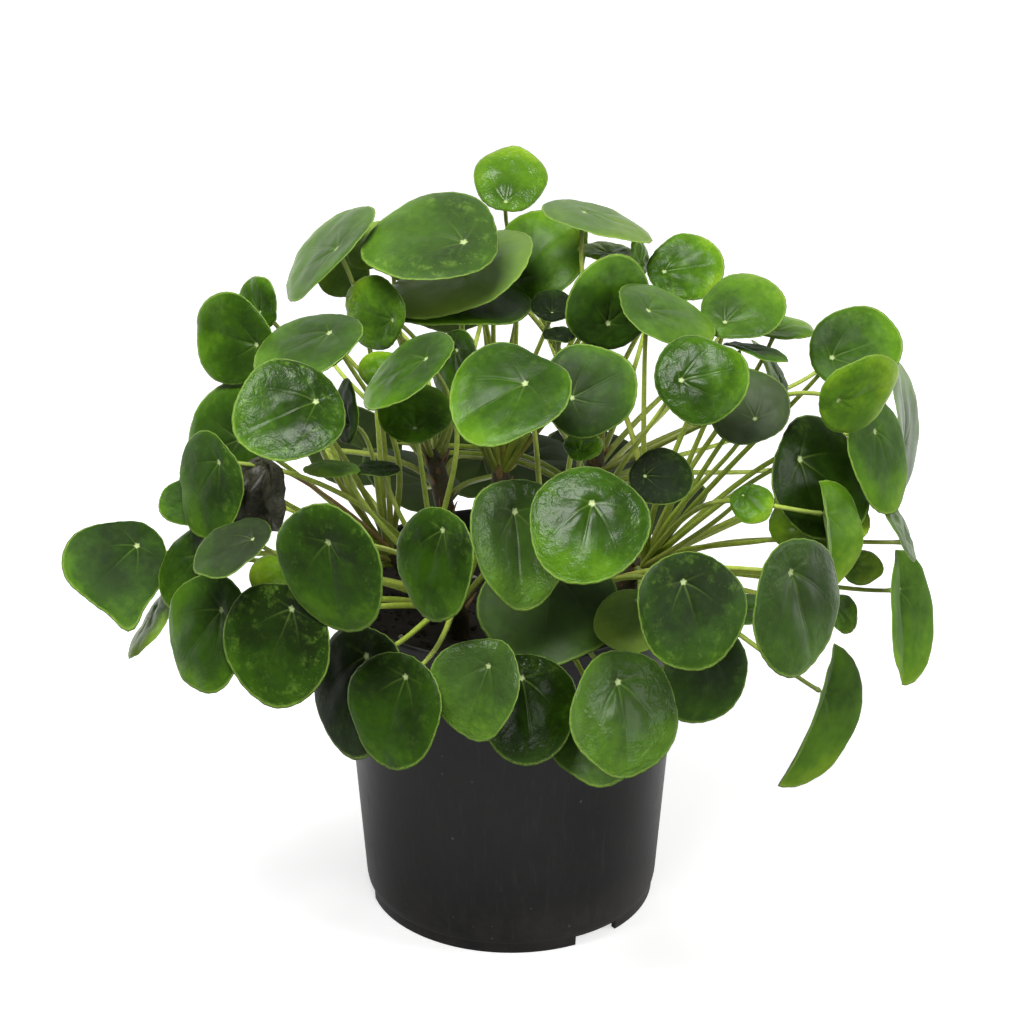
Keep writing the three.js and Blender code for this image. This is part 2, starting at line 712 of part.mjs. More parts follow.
function tube(curve, radius, sides, steps) {
  const corners = Array.from({ length: sides }, (_, i) => {
    const turn = (2 * Math.PI * i) / sides;
    return new THREE.Vector2(radius * Math.cos(turn), radius * Math.sin(turn));
  });
  const section = new THREE.Shape(corners);
  const options = { steps, extrudePath: curve, bevelEnabled: false };
  return solidFrom(new THREE.ExtrudeGeometry(section, options));
}

// The two halves of a turned disc split their squares along opposite diagonals. Turning
// the upper half's makes both faces of a waved blade bend alike, so they never cross.
function alignDiagonals(geometry, points) {
  const index = [];
  const count = points.length;
  for (let i = 0; i < BLADE_SIDES; i += 1) {
    for (let j = 0; j < count - 1; j += 1) {
      const here = j + i * count;
      const next = here + count;
      if (points[j].x === 0) {
        index.push(here, next + 1, here + 1);
      } else if (points[j + 1].x === 0) {
        index.push(here, next, here + 1);
      } else if (points[j].x > points[j + 1].x) {
        index.push(here, next, next + 1, here, next + 1, here + 1);
      } else {
        index.push(here, next, here + 1, next, next + 1, here + 1);
      }
    }
  }
  geometry.setIndex(index);
}

// A round blade with a slight point at its tip
function outline(blade, turn) {
  return 1 + blade.point * Math.max(0, Math.sin(turn + blade.pointTurn)) ** 8;
}

function bladeSolid(blade) {
  const half = BLADE_THICKNESS / 2;
  const lower = ringsOf(blade).map((ring) => new THREE.Vector2(ring, -half));
  const upper = ringsOf(blade).map((ring) => new THREE.Vector2(ring, half));
  const points = [...lower, ...upper.reverse()];
  const geometry = new THREE.LatheGeometry(points, BLADE_SIDES);
  alignDiagonals(geometry, points);
  const { position } = geometry.attributes;
  for (let i = 0; i < position.count; i += 1) {
    const [x, height, z] = [position.getX(i), position.getY(i), position.getZ(i)];
    const share = Math.hypot(x, z);
    const turn = Math.atan2(-z, x);
    const reach = share * outline(blade, turn);
    const u = reach * Math.cos(turn);
    const v = reach * Math.sin(turn);
    position.setXYZ(i, ...bladePoint(blade, u, v, height));
  }
  return solidFrom(geometry);
}

// A leafy stem is one living body: the stem, its petioles and its blades
function leafyStem(stem) {
  const [x, y] = stem.foot;
  const root = column(x, y, SOIL_TOP - ROOT_DEPTH, SOIL_TOP + 8, STEM_RADIUS, STEM_SIDES);
  const solids = [root, tube(stemCurve(stem), STEM_RADIUS * 0.94, STEM_SIDES, 3)];
  for (const petiole of petioles.filter((each) => each.stem === stem.name)) {
    solids.push(tube(petiole.curve, PETIOLE_RADIUS, PETIOLE_SIDES, PETIOLE_STEPS));
    solids.push(bladeSolid(petiole.blade));
  }
  return largest(wasm.Manifold.union(solids));
}

// Fusing can leave a loose scrap, which is dropped
function largest(solid) {
  return solid.decompose().reduce((most, each) => (each.volume() > most.volume() ? each : most));
}

const innerRadius = (height) => wallRadius(height) - WALL_THICKNESS;
const BASE_TOP = FOOT_HEIGHT - 1 + BASE_THICKNESS;

function potSolid() {
  const under = FOOT_HEIGHT - 1;
  const footInside = FOOT_RADIUS - FOOT_THICKNESS;
  const lipFoot = POT_HEIGHT - LIP_HEIGHT;
  const profile = [
    [0, under],
    [footInside, under],
    [footInside - 0.4, 0],
    [FOOT_RADIUS, 0],
    [FOOT_RADIUS + 0.4, FOOT_HEIGHT],
    [WALL_FOOT_RADIUS - 0.9, FOOT_HEIGHT + 1.6],
    [WALL_FOOT_RADIUS, WALL_FOOT_HEIGHT],
    [wallRadius(lipFoot), lipFoot],
    [wallRadius(lipFoot) + LIP_OUT, lipFoot + 1],
    [RIM_RADIUS + LIP_OUT, POT_HEIGHT - 1],
    [RIM_RADIUS + LIP_OUT - 1, POT_HEIGHT],
    [innerRadius(POT_HEIGHT), POT_HEIGHT],
    [innerRadius(BASE_TOP + 3), BASE_TOP + 3],
    [innerRadius(BASE_TOP + 3) - 3, BASE_TOP],
    [0, BASE_TOP],
  ];
  let pot = solidFrom(turned(profile, POT_SIDES));
  for (let i = 0; i < NOTCH_COUNT; i += 1) {
    const box = new THREE.BoxGeometry(NOTCH_WIDTH, 4 * FOOT_THICKNESS, 2 * NOTCH_HEIGHT);
    box.translate(0, -FOOT_RADIUS + FOOT_THICKNESS / 2, 0);
    box.rotateZ(radians(NOTCH_FIRST_ANGLE + (360 * i) / NOTCH_COUNT));
    pot = pot.subtract(solidFrom(box));
  }
  for (let i = 0; i < DRAIN_COUNT; i += 1) {
    const turn = radians(NOTCH_FIRST_ANGLE - 90 + (360 * i) / DRAIN_COUNT);
    const [x, y] = [DRAIN_CIRCLE * Math.cos(turn), DRAIN_CIRCLE * Math.sin(turn)];
    pot = pot.subtract(column(x, y, 0, 2 * FOOT_HEIGHT, DRAIN_RADIUS, STEM_SIDES));
  }
  return pot;
}

// The soil fills the pot, with a gently uneven top and a plain hole round each stem
function soilSolid() {
  const floor = BASE_TOP + 3 + GAP;
  const profile = [
    [0, BASE_TOP + GAP],
    [innerRadius(floor) - 3 - GAP, BASE_TOP + GAP],
    [innerRadius(floor) - GAP, floor],
    [innerRadius(SOIL_TOP) - GAP, SOIL_TOP],
    [0.6 * innerRadius(SOIL_TOP), SOIL_TOP],
    [0, SOIL_TOP],
  ];
  const geometry = turned(profile, POT_SIDES);
  const { position } = geometry.attributes;
  for (let i = 0; i < position.count; i += 1) {
    const [x, y, z] = [position.getX(i), position.getY(i), position.getZ(i)];
    const inside = Math.hypot(x, y) < 0.9 * innerRadius(SOIL_TOP);
    if (z === SOIL_TOP && inside) {
      position.setZ(i, SOIL_TOP + SOIL_UNEVEN * Math.sin(x / 19 + 1) * Math.cos(y / 23));
    }
  }
  let soil = solidFrom(geometry);
  for (const { foot } of STEMS) {
    const floorOfHole = SOIL_TOP - ROOT_DEPTH - GAP;
    const radius = STEM_RADIUS + 2 * GAP;
    soil = soil.subtract(column(...foot, floorOfHole, POT_HEIGHT, radius, STEM_SIDES));
  }
  return soil;
}

const blackPlastic = new THREE.MeshStandardMaterial({ color: 0x262525, roughness: 0.42 });
const darkSoil = new THREE.MeshStandardMaterial({ color: 0x2a2019, roughness: 0.95 });
const leafGreen = () => new THREE.MeshStandardMaterial({ color: 0x3f6a26, roughness: 0.38 });

const plant = new THREE.Group();
plant.add(meshFrom("pot", potSolid(), blackPlastic));
plant.add(meshFrom("potting_soil", soilSolid(), darkSoil));
for (const stem of STEMS) {
  plant.add(meshFrom(stem.name, leafyStem(stem), leafGreen()));
}

export default plant;
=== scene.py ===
# %% [markdown]
# # A pilea in a nursery pot
#
# The real plant is a dome of coin-shaped leaves on long stalks (petioles) that spring
# from a few short woody stems, in a thin black plastic pot of peat mix. This lesson dresses
# the solid model of it: each solid is replaced by a finer piece of the same form and place.
# It starts by loading the solids, which fix every size.

import math
from functools import reduce
from types import SimpleNamespace

import bpy
import numpy as np
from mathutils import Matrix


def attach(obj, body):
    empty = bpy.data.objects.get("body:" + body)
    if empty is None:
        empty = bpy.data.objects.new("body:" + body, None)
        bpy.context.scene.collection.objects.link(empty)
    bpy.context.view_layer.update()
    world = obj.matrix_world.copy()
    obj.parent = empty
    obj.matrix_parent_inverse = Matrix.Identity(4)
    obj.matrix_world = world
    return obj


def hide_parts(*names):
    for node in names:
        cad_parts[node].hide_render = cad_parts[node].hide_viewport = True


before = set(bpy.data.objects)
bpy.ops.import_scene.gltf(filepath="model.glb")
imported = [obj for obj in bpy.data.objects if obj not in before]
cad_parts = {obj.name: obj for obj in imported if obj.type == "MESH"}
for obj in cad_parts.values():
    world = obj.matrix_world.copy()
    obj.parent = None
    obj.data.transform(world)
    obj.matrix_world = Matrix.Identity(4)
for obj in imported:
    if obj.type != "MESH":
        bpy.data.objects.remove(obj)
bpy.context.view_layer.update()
MM = 0.001
print("solids:", ", ".join(sorted(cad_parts)))

# %% [markdown]
# ## The eye
#
# A plant has no drawing, so its leaves are placed from how they look in one front view.
# That view comes first: everything later is measured along its sight lines. The numbers are
# the same as in the solid model, in millimetres and degrees. A long lens from 2.3 m away
# gives the flat, calm perspective of a shop photograph.

# %% Camera
EYE_DISTANCE = 2300.0
EYE_ELEVATION = math.radians(25)
EYE_TARGET_HEIGHT = 290.0
PIXELS_PER_RADIAN = 3370.0
MIDDLE = (511.0, 512.0)
IMAGE_SIDE = 1024
SENSOR_WIDTH = 36.0

eye_back = np.array([0.0, -math.cos(EYE_ELEVATION), math.sin(EYE_ELEVATION)])
eye_right = np.array([1.0, 0.0, 0.0])
eye_up = np.cross(eye_back, eye_right)
eye = np.array([0.0, 0.0, EYE_TARGET_HEIGHT]) + EYE_DISTANCE * eye_back

camera_data = bpy.data.cameras.new("camera")
camera_data.sensor_width = SENSOR_WIDTH
camera_data.lens = SENSOR_WIDTH * PIXELS_PER_RADIAN / IMAGE_SIDE
camera_data.shift_x = (IMAGE_SIDE / 2 - MIDDLE[0]) / IMAGE_SIDE
camera = bpy.data.objects.new("camera", camera_data)
camera.location = eye * MM
camera.rotation_euler = (math.pi / 2 - EYE_ELEVATION, 0, 0)
bpy.context.scene.collection.objects.link(camera)
bpy.context.scene.camera = camera
print("lens in millimetres:", round(camera_data.lens, 1))

# %% [markdown]
# ## Short ways to build node trees
#
# Nearly all shapes and finishes below are node trees made in code. `Tree` adds a node,
# joins sockets or sets plain values in one call, and does arithmetic on sockets, so that
# each recipe reads as a list of steps. `ShapeTree` adds the steps that make geometry.


# %% Node tree helper
class Tree:
    """Adds nodes to a tree. Each value is a plain one or another node's socket."""

    def __init__(self, tree):
        self.tree = tree

    def join(self, value, socket):
        if isinstance(value, bpy.types.NodeSocket):
            self.tree.links.new(value, socket)
        elif value is not None:
            socket.default_value = value

    def add(self, kind, *values, inputs=None, **settings):
        """A node with its settings, its first inputs in order and others by name."""
        node = self.tree.nodes.new(kind)
        for name, value in settings.items():
            setattr(node, name, value)
        for value, socket in zip(values, [s for s in node.inputs if s.enabled]):
            self.join(value, socket)
        for name, value in (inputs or {}).items():
            self.join(value, node.inputs[name])
        return node

    def first(self, kind, *values, **settings):
        """The first output of a new node."""
        return self.add(kind, *values, **settings).outputs[0]

    def math(self, operation, *values):
        return self.first("ShaderNodeMath", *values, operation=operation)

    def total(self, *values):
        return reduce(lambda first, second: self.math("ADD", first, second), values)

    def times(self, *values):
        return reduce(lambda first, second: self.math("MULTIPLY", first, second), values)

    def minus(self, first, second):
        return self.math("SUBTRACT", first, second)

    def vector(self, operation, *values):
        node = self.add("ShaderNodeVectorMath", *values, operation=operation)
        return node.outputs["Value" if operation == "LENGTH" else "Vector"]

    def scaled(self, vector, factor):
        inputs = dict(Vector=vector, Scale=factor)
        return self.first("ShaderNodeVectorMath", inputs=inputs, operation="SCALE")

    def combined(self, x, y, z):
        return self.first("ShaderNodeCombineXYZ", x, y, z)

    def parts(self, vector):
        return self.add("ShaderNodeSeparateXYZ", vector).outputs

    def smooth(self, value, start, end, low=0.0, high=1.0):
        """Goes smoothly from low to high as value goes from start to end."""
        values = (value, start, end, low, high)
        return self.first("ShaderNodeMapRange", *values, interpolation_type="SMOOTHSTEP")

    def noise(self, vector, scale, detail=3.0, roughness=0.5):
        inputs = dict(Vector=vector, Scale=scale, Detail=detail, Roughness=roughness)
        return self.first("ShaderNodeTexNoise", inputs=inputs)

    def uneven(self, vector, scale, detail=3.0, roughness=0.5):
        """Noise that goes up and down from nothing."""
        return self.minus(self.noise(vector, scale, detail, roughness), 0.5)

    def group(self, group, *values):
        """The mask of a shared effect."""
        return self.first("ShaderNodeGroup", *values, node_tree=group)

    def mix(self, factor, first, second):
        """A colour mix. Plain colours are as picked on screen."""
        node = self.add("ShaderNodeMix", data_type="RGBA")
        for name, value in (("Factor", factor), ("A", first), ("B", second)):
            value = colour(*value) if isinstance(value, tuple) else value
            self.join(value, next(s for s in node.inputs if s.enabled and s.name == name))
        return next(s for s in node.outputs if s.enabled)

    def object_place(self):
        return self.add("ShaderNodeTexCoord").outputs["Object"]

    def attribute(self, name, output="Vector"):
        return self.add("ShaderNodeAttribute", attribute_name=name).outputs[output]

    def bump(self, height, strength, distance, surface):
        inputs = dict(Strength=strength, Distance=distance, Height=height)
        self.join(self.first("ShaderNodeBump", inputs=inputs), surface["Normal"])


# %% Steps of trees that make shapes
class ShapeTree(Tree):
    def position(self):
        return self.first("GeometryNodeInputPosition")

    def named(self, name, kind="FLOAT"):
        """A value that the points carry."""
        node = self.add("GeometryNodeInputNamedAttribute", name, data_type=kind)
        return node.outputs["Attribute"]

    def stored(self, geometry, name, value, kind="FLOAT"):
        inputs = dict(Geometry=geometry, Name=name, Value=value)
        node = "GeometryNodeStoreNamedAttribute"
        return self.first(node, inputs=inputs, data_type=kind, domain="POINT")

    def placed(self, geometry, position):
        inputs = dict(Geometry=geometry, Position=position)
        return self.first("GeometryNodeSetPosition", inputs=inputs)

    def pushed(self, geometry, amount):
        """Moves points out along their normals."""
        step = self.scaled(self.first("GeometryNodeInputNormal"), amount)
        return self.placed(geometry, self.vector("ADD", self.position(), step))

    def copies(self, points, instance, rotation=None, scale=None):
        """Copies of an instance on points, as one plain mesh."""
        inputs = dict(Points=points, Instance=instance, Rotation=rotation, Scale=scale)
        copies = self.first("GeometryNodeInstanceOnPoints", inputs=inputs)
        return self.first("GeometryNodeRealizeInstances", copies)

    def hand_out(self, geometry, given, wanted, smooth=True):
        """Ends the tree with a plain mesh that has the given material."""
        geometry = self.first("GeometryNodeRealizeInstances", geometry)
        if smooth:
            geometry = self.first("GeometryNodeSetShadeSmooth", geometry, True, True)
        geometry = self.first("GeometryNodeSetMaterial", geometry, True, given.material)
        self.join(geometry, wanted)


# %% Colours and tree makers
SOCKETS = {int: "Int", float: "Float"}


def colour(red, green, blue):
    """A colour as picked on screen, 0 to 255, made linear."""
    return tuple(((c / 255 + 0.055) / 1.055) ** 2.4 for c in (red, green, blue)) + (1.0,)


def title(name):
    return name.replace("_", " ").capitalize()


def new_group(name, kind, **inputs):
    """An empty group of shape nodes, which also takes and gives geometry, or of shader nodes,
    which give a mask. Each input has a name and a plain value or the kind of its socket."""
    group = bpy.data.node_groups.new(name, f"{kind}NodeTree")
    shape = kind == "Geometry"
    if shape:
        inputs = dict(geometry="Geometry", **inputs, material="Material")
    for key, value in inputs.items():
        socket = SOCKETS.get(type(value), value)
        settings = dict(in_out="INPUT", socket_type=f"NodeSocket{socket}")
        item = group.interface.new_socket(title(key), **settings)
        if socket != value:
            item.default_value = value
    output, socket = ("Geometry", "Geometry") if shape else ("Mask", "Float")
    settings = dict(in_out="OUTPUT", socket_type=f"NodeSocket{socket}")
    group.interface.new_socket(output, **settings)
    given = group.nodes.new("NodeGroupInput").outputs
    given = SimpleNamespace(**{key: given[title(key)] for key in inputs})
    wanted = group.nodes.new("NodeGroupOutput").inputs[0]
    return group, ShapeTree(group) if shape else Tree(group), given, wanted


def new_material(name):
    """A material with an empty principled surface."""
    material = bpy.data.materials.new(name)
    material.use_nodes = True
    surface = material.node_tree.nodes["Principled BSDF"]
    return material, Tree(material.node_tree), surface.inputs


# %% Meshes and pieces
def mesh_of(name, points, edges=(), attributes=None):
    """Loose points and edges that carry named values, as food for a node tree."""
    mesh = bpy.data.meshes.new(name)
    mesh.from_pydata([tuple(p) for p in points], [tuple(e) for e in edges], [])
    for key, values in (attributes or {}).items():
        values = np.asarray(values, dtype=float)
        vector = values.ndim == 2
        kept = mesh.attributes.new(key, "FLOAT_VECTOR" if vector else "FLOAT", "POINT")
        kept.data.foreach_set("vector" if vector else "value", values.ravel())
    return mesh


def made_by(group, mesh, name, values):
    """Runs a geometry tree on a mesh and keeps the result as a plain mesh object."""
    scene, values = bpy.context.scene, {title(key): value for key, value in values.items()}
    source = bpy.data.objects.new(f"{name}_source", mesh)
    scene.collection.objects.link(source)
    modifier = source.modifiers.new("nodes", "NODES")
    modifier.node_group = group
    for item in group.interface.items_tree:
        if item.in_out == "INPUT" and item.name in values:
            modifier[item.identifier] = values[item.name]
    ready = source.evaluated_get(bpy.context.evaluated_depsgraph_get())
    result = bpy.data.meshes.new_from_object(ready)
    result.name = name
    bpy.data.objects.remove(source)
    piece = bpy.data.objects.new(name, result)
    scene.collection.objects.link(piece)
    return piece


def add_piece(group, mesh, name, node, slot, **values):
    """Makes a piece, puts it on the body in the place of a solid and prints its triangle count.
    """
    piece = made_by(group, mesh, name, values)
    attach(piece, "root")
    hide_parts(node)
    piece.data.calc_loop_triangles()
    print(piece.name, len(piece.data.loop_triangles), "triangles")
    return piece


# %% [markdown]
# ## Reading the leaves
#
# Each row reads one blade in the front view: where its middle shows, half its longest and
# half its shortest width, how the longest width slants, where the petiole meets it, and how
# far it lies behind the front of the dome. The last words give its looks: from dark to
# light (the tone, partly the leaf's own green and partly painted shade and painted sheen),
# how dull it is (rougher, and with a painted grey sheen over its green), how wrinkled and
# glossy it is, and how much it is spotted. They also say how it is folded or creased, and
# where its outline has a point or, below zero, a notch, with or without three corners. Most of
# the `tone` numbers weren't read by eye: a separate small program stepped them until each
# rendered leaf was about as green as in the photograph. Reading a view is how a sculptor works
# from a photograph, and it keeps every leaf where it shows.

# %% Leaf readings
# The tone numbers carry painted shade and painted sheen as well as each leaf's own green; the
# dull numbers also paint a grey sheen.
PLAIN = dict(hidden=False, fold=0, crease=0.0, point=0.05, point_at=None, corners=0.0)
PLAIN.update(tone=0.0, dull=0.0, gloss=0.3, spots=0.25)


def seen(name, x, y, half, open, slant, hub_x, hub_y, inside, **more):
    read = dict(name=name, x=x, y=y, half=half, open=open, slant=slant)
    read.update(hub=(hub_x, hub_y), inside=inside)
    return SimpleNamespace(**{**PLAIN, **read, **more})


READINGS = [
    seen(
        "top_young", 510, 179, 37, 32, 0, 505, 206, 20,
        tone=0.55, gloss=1.2, spots=0.0, dull=0.15,
    ),
    seen(
        "top_left_broad", 431, 239, 69, 43, -12, 464, 243, 5,
        spots=1.0, gloss=0.15, dull=0.25,
    ),
    seen("top_left_under", 462, 272, 78, 33, -25, 490, 262, 85, dull=0.8, tone=1),
    seen("top_middle", 540, 255, 50, 43, -35, 514, 279, 105, tone=0.3, spots=0.6),
    seen("top_left_low", 465, 303, 69, 25, 0, 480, 300, 125, tone=-0.12),
    seen("top_right_flat", 598, 220, 56, 14, 17, 594, 226, 20, dull=0.9, tone=0.69),
    seen("top_right_low", 610, 304, 48, 42, -60, 608, 323, 60, tone=-0.14),
    seen("top_right_side", 666, 314, 53, 24, 27, 647, 313, 30, tone=0.34, dull=0.3),
    seen("top_right_high", 686, 268, 38, 34, 0, 664, 271, 55, tone=0.33, gloss=0.6, spots=0.8),
    seen("right_top_outer", 743, 307, 43, 33, -5, 725, 322, 20, tone=0.3, gloss=0.5, dull=0.2),
    seen("right_top_small", 785, 327, 30, 12, 5, 775, 331, 70, tone=0.62, dull=0.3),
    seen("right_top_edge", 756, 351, 33, 6, 14, 745, 350, 60, tone=-0.05, gloss=-0.6),
    seen("right_top_pale_edge", 771, 368, 33, 6, 60, 760, 352, 95, tone=0.65, dull=0.6),
    seen(
        "right_glossy", 702, 377, 48, 46, 0, 681, 381, 0,
        gloss=0.8, point=-0.2, point_at=(728, 335), tone=-0.04,
    ),
    seen(
        "right_behind_glossy", 748, 406, 42, 38, 0, 755, 419, 60,
        dull=0.7, tone=-0.54, gloss=0.1,
    ),
    seen("middle_right", 588, 390, 48, 47, 0, 572, 398, 40, tone=-0.17, dull=0.1, gloss=-0.2),
    seen(
        "middle_top", 508, 393, 63, 50, -20, 525, 383, 0,
        tone=0.04, gloss=0.4, point=-0.1, point_at=(545, 350), corners=-0.09,
    ),
    seen("middle_left_slope", 407, 371, 55, 23, -40, 427, 360, 20, tone=0.08),
    seen("left_crinkled", 375, 313, 38, 29, 80, 393, 320, 70, tone=0.38, gloss=1.2, dull=0.15),
    seen("middle_dark", 457, 368, 38, 24, 90, 457, 350, 95, tone=-0.23),
    seen("left_middle_dark", 415, 412, 38, 30, 0, 415, 428, 75, tone=0.27, spots=0.7),
    seen("left_backlit", 382, 370, 24, 20, 0, 388, 378, 90, tone=0.6),
    seen("top_right_sliver", 606, 251, 28, 9, 5, 610, 254, 80, tone=1),
    seen("top_right_upright", 640, 256, 20, 9, 80, 640, 264, 60, tone=0.56),
    seen("middle_small_dark", 552, 305, 22, 16, 0, 552, 312, 120, tone=-1, gloss=-0.8),
    seen("middle_small_flat", 559, 334, 17, 7, 0, 559, 337, 95, tone=-1, gloss=-0.6),
    seen("top_left_grey", 378, 243, 35, 22, -20, 392, 246, 60, dull=0.7, tone=1),
    seen("top_left_back", 343, 272, 27, 26, 0, 352, 280, 95, dull=0.7, tone=1),
    seen("left_top_outer", 327, 250, 62, 19, -47, 338, 250, 20, tone=0.33, dull=0.5),
    seen("left_high", 232, 338, 47, 37, 80, 255, 345, 0, tone=0.03, gloss=0.4),
    seen("left_high_folded", 257, 304, 28, 20, 90, 260, 312, 45, tone=-0.03),
    seen("left_high_slope", 306, 347, 58, 30, -25, 330, 334, 30, dull=0.2, tone=0.05),
    seen(
        "left_broad", 289, 412, 56, 51, 0, 316, 400, 0,
        tone=-0.16, gloss=0.75, spots=0.9, crease=0.16,
    ),
    seen("left_behind_broad", 229, 432, 54, 38, 108, 240, 440, 50, tone=-0.13),
    seen("left_outer", 208, 485, 55, 31, 85, 220, 462, 15, tone=-0.1, spots=0.7, gloss=-0.5),
    seen("left_outer_light", 187, 502, 27, 24, 0, 197, 500, 70, tone=-0.17, gloss=-0.6),
    seen("left_inner_small", 240, 468, 28, 22, 0, 250, 474, 75, tone=0.57),
    seen("left_low_grey", 232, 548, 43, 23, -32, 252, 538, 20, dull=0.3, tone=-0.6, gloss=-0.2),
    seen("left_low_dark", 190, 568, 45, 28, 110, 200, 556, 55, tone=-0.28),
    seen("left_low_edge", 152, 622, 42, 9, -58, 160, 612, 45, tone=0.85, dull=0.5),
    seen(
        "far_left", 117, 565, 52, 47, 0, 137, 545, 0,
        point=0.34, point_at=(130, 629), corners=0.06, tone=-0.21, spots=0.15, gloss=-0.6,
    ),
    seen("left_hanging", 207, 632, 60, 40, 90, 222, 610, 20, tone=-0.01, gloss=0.5),
    seen("left_hanging_front", 278, 643, 63, 53, 75, 291, 609, 0, tone=-0.42, spots=0.9),
    seen("left_front", 332, 567, 68, 48, 60, 329, 542, 0, tone=-0.13, spots=0.6, crease=0.05),
    seen("left_behind_front", 275, 575, 26, 22, 0, 284, 570, 70, tone=1),
    seen(
        "front_left_upright", 436, 563, 57, 38, 85, 443, 530, 15,
        tone=-0.22, spots=0.5, crease=-0.06,
    ),
    seen(
        "front_middle", 519, 541, 65, 51, 80, 517, 511, 35,
        tone=-0.04, gloss=1.1, crease=0.2, dull=0.25,
    ),
    seen("front_round", 588, 524, 61, 58, 0, 592, 504, 10, tone=0.01, gloss=0.8, spots=0.4),
    seen("front_dark", 548, 604, 72, 60, 0, 552, 574, 75, dull=0.4, tone=-0.23, gloss=0.2),
    seen("front_right_grey", 632, 620, 38, 32, 0, 637, 600, 60, dull=0.8, tone=1),
    seen(
        "front_right_broad", 691, 610, 59, 55, 90, 683, 582, 0,
        tone=-0.4, spots=0.6, gloss=0.0,
    ),
    seen("front_right_dark", 704, 672, 53, 42, 110, 706, 650, 35, tone=-0.37),
    seen(
        "front_wrinkled", 622, 714, 63, 54, 90, 619, 682, 0,
        tone=0.09, gloss=1.1, crease=0.28, dull=0.25,
    ),
    seen("front_under_wrinkled", 598, 738, 50, 45, 0, 600, 712, 32, tone=-0.14, dull=0.4),
    seen("front_low", 526, 708, 55, 51, 90, 522, 678, 20, tone=-0.57, gloss=1, crease=0.1),
    seen(
        "front_low_left", 478, 688, 51, 45, 90, 486, 666, 0,
        tone=0.08, gloss=0.9, crease=0.18, dull=0.35,
    ),
    seen(
        "front_left_low", 396, 710, 59, 46, 80, 405, 677, 0,
        tone=-0.32, gloss=0.4, crease=0.1,
    ),
    seen("front_left_dark", 360, 690, 66, 46, 90, 368, 656, 30, tone=-0.98),
    seen("right_inner_dark", 661, 477, 32, 29, 0, 645, 476, 85, tone=-1, gloss=-0.8),
    seen("left_inner_edge", 378, 468, 23, 8, 0, 384, 470, 95, tone=-0.72, gloss=-0.6),
    seen("left_inner_flat", 332, 468, 28, 8, 0, 342, 470, 80, dull=0.4, tone=0.6, gloss=-0.6),
    seen("left_inner_upright", 346, 412, 33, 11, 90, 350, 424, 80, tone=-0.2, gloss=-0.6),
    seen("middle_inner_glossy", 583, 445, 20, 14, 0, 580, 452, 75, gloss=0.9, tone=0.39),
    seen("far_right_high", 856, 349, 46, 43, 0, 832, 357, 25, tone=0.07, spots=0.5, gloss=-0.2),
    seen("far_right_slope", 859, 393, 47, 30, -45, 838, 400, 0, tone=0.7, spots=0.1),
    seen("far_right", 879, 453, 60, 28, 80, 872, 432, 20, tone=0.2, gloss=-0.6),
    seen("far_right_pale", 903, 430, 70, 10, 88, 900, 455, 60, dull=0.4, tone=0.1),
    seen("far_right_edge", 899, 528, 38, 6, 65, 893, 516, 35, dull=0.8, tone=0.31),
    seen("right_dark", 820, 478, 64, 46, 75, 797, 460, 50, tone=-0.54, gloss=0.4),
    seen("right_dark_low", 818, 522, 50, 32, 0, 792, 530, 85, tone=1),
    seen(
        "right_hanging", 797, 606, 70, 42, 100, 789, 572, 5,
        tone=-0.12, gloss=0.6, dull=0.2, crease=0.08,
    ),
    seen("right_folded", 826, 536, 55, 19, 91, 825, 514, 20, fold=18, tone=0.7),
    seen("right_young", 752, 503, 22, 20, 0, 743, 495, 60, tone=0.43),
    seen(
        "far_right_folded", 896, 618, 66, 23, 88, 895, 590, 10,
        fold=21, tone=0.44, gloss=-0.6,
    ),
    seen(
        "right_low_folded", 812, 717, 75, 23, 113, 822, 692, 0,
        fold=15, tone=0.43, dull=0.1, gloss=-0.4,
    ),
    seen("right_inner_grey", 862, 567, 20, 18, 0, 852, 566, 85, dull=0.6, tone=1),
    seen("right_inner_small", 844, 614, 20, 14, 80, 838, 606, 75, tone=0.33, dull=0.4),
    seen("right_inner_flat", 750, 610, 38, 15, 0, 738, 612, 75, tone=-0.2),
]
print(len(READINGS), "leaves read")

# %% [markdown]
# ## The far side
#
# The far side doesn't show, so it is grown by a rule: near leaves hide others on their own
# sight lines, which face the other way, and a few dark ones show between the petioles. The
# numbers are those of the solid model, so each fine leaf lands on its faceted one.

# %% Hidden leaves
HIDDEN_SIZE = 0.93
HIDDEN_LOWEST = 248
HIDDEN_OPEN = (0.45, 0.85)
HIDDEN_SLANT = 30
HIDES_OTHERS = [
    ("top_left_broad", [0.6]),
    ("top_left_under", [0.66, 0.98]),
    ("top_middle", [0.4, 0.8]),
    ("top_left_low", [0.5]),
    ("top_right_low", [0.62, 0.98]),
    ("top_right_high", [0.55, 1.02]),
    ("right_top_outer", [0.78]),
    ("left_high_slope", [0.66, 1]),
    ("left_crinkled", [0.56, 1.06]),
    ("left_high", [0.86]),
    ("right_glossy", [1.04]),
    ("right_behind_glossy", [0.92]),
    ("middle_right", [1.02]),
    ("middle_top", [0.995]),
    ("left_broad", [1.06]),
    ("left_behind_broad", [0.95]),
    ("left_outer", [0.86]),
    ("right_dark", [0.95]),
    ("far_right_high", [0.9]),
    ("far_right", [0.85]),
    ("left_middle_dark", [0.84]),
    ("right_inner_dark", [0.86]),
]
print(len(HIDES_OTHERS), "leaves hide others")

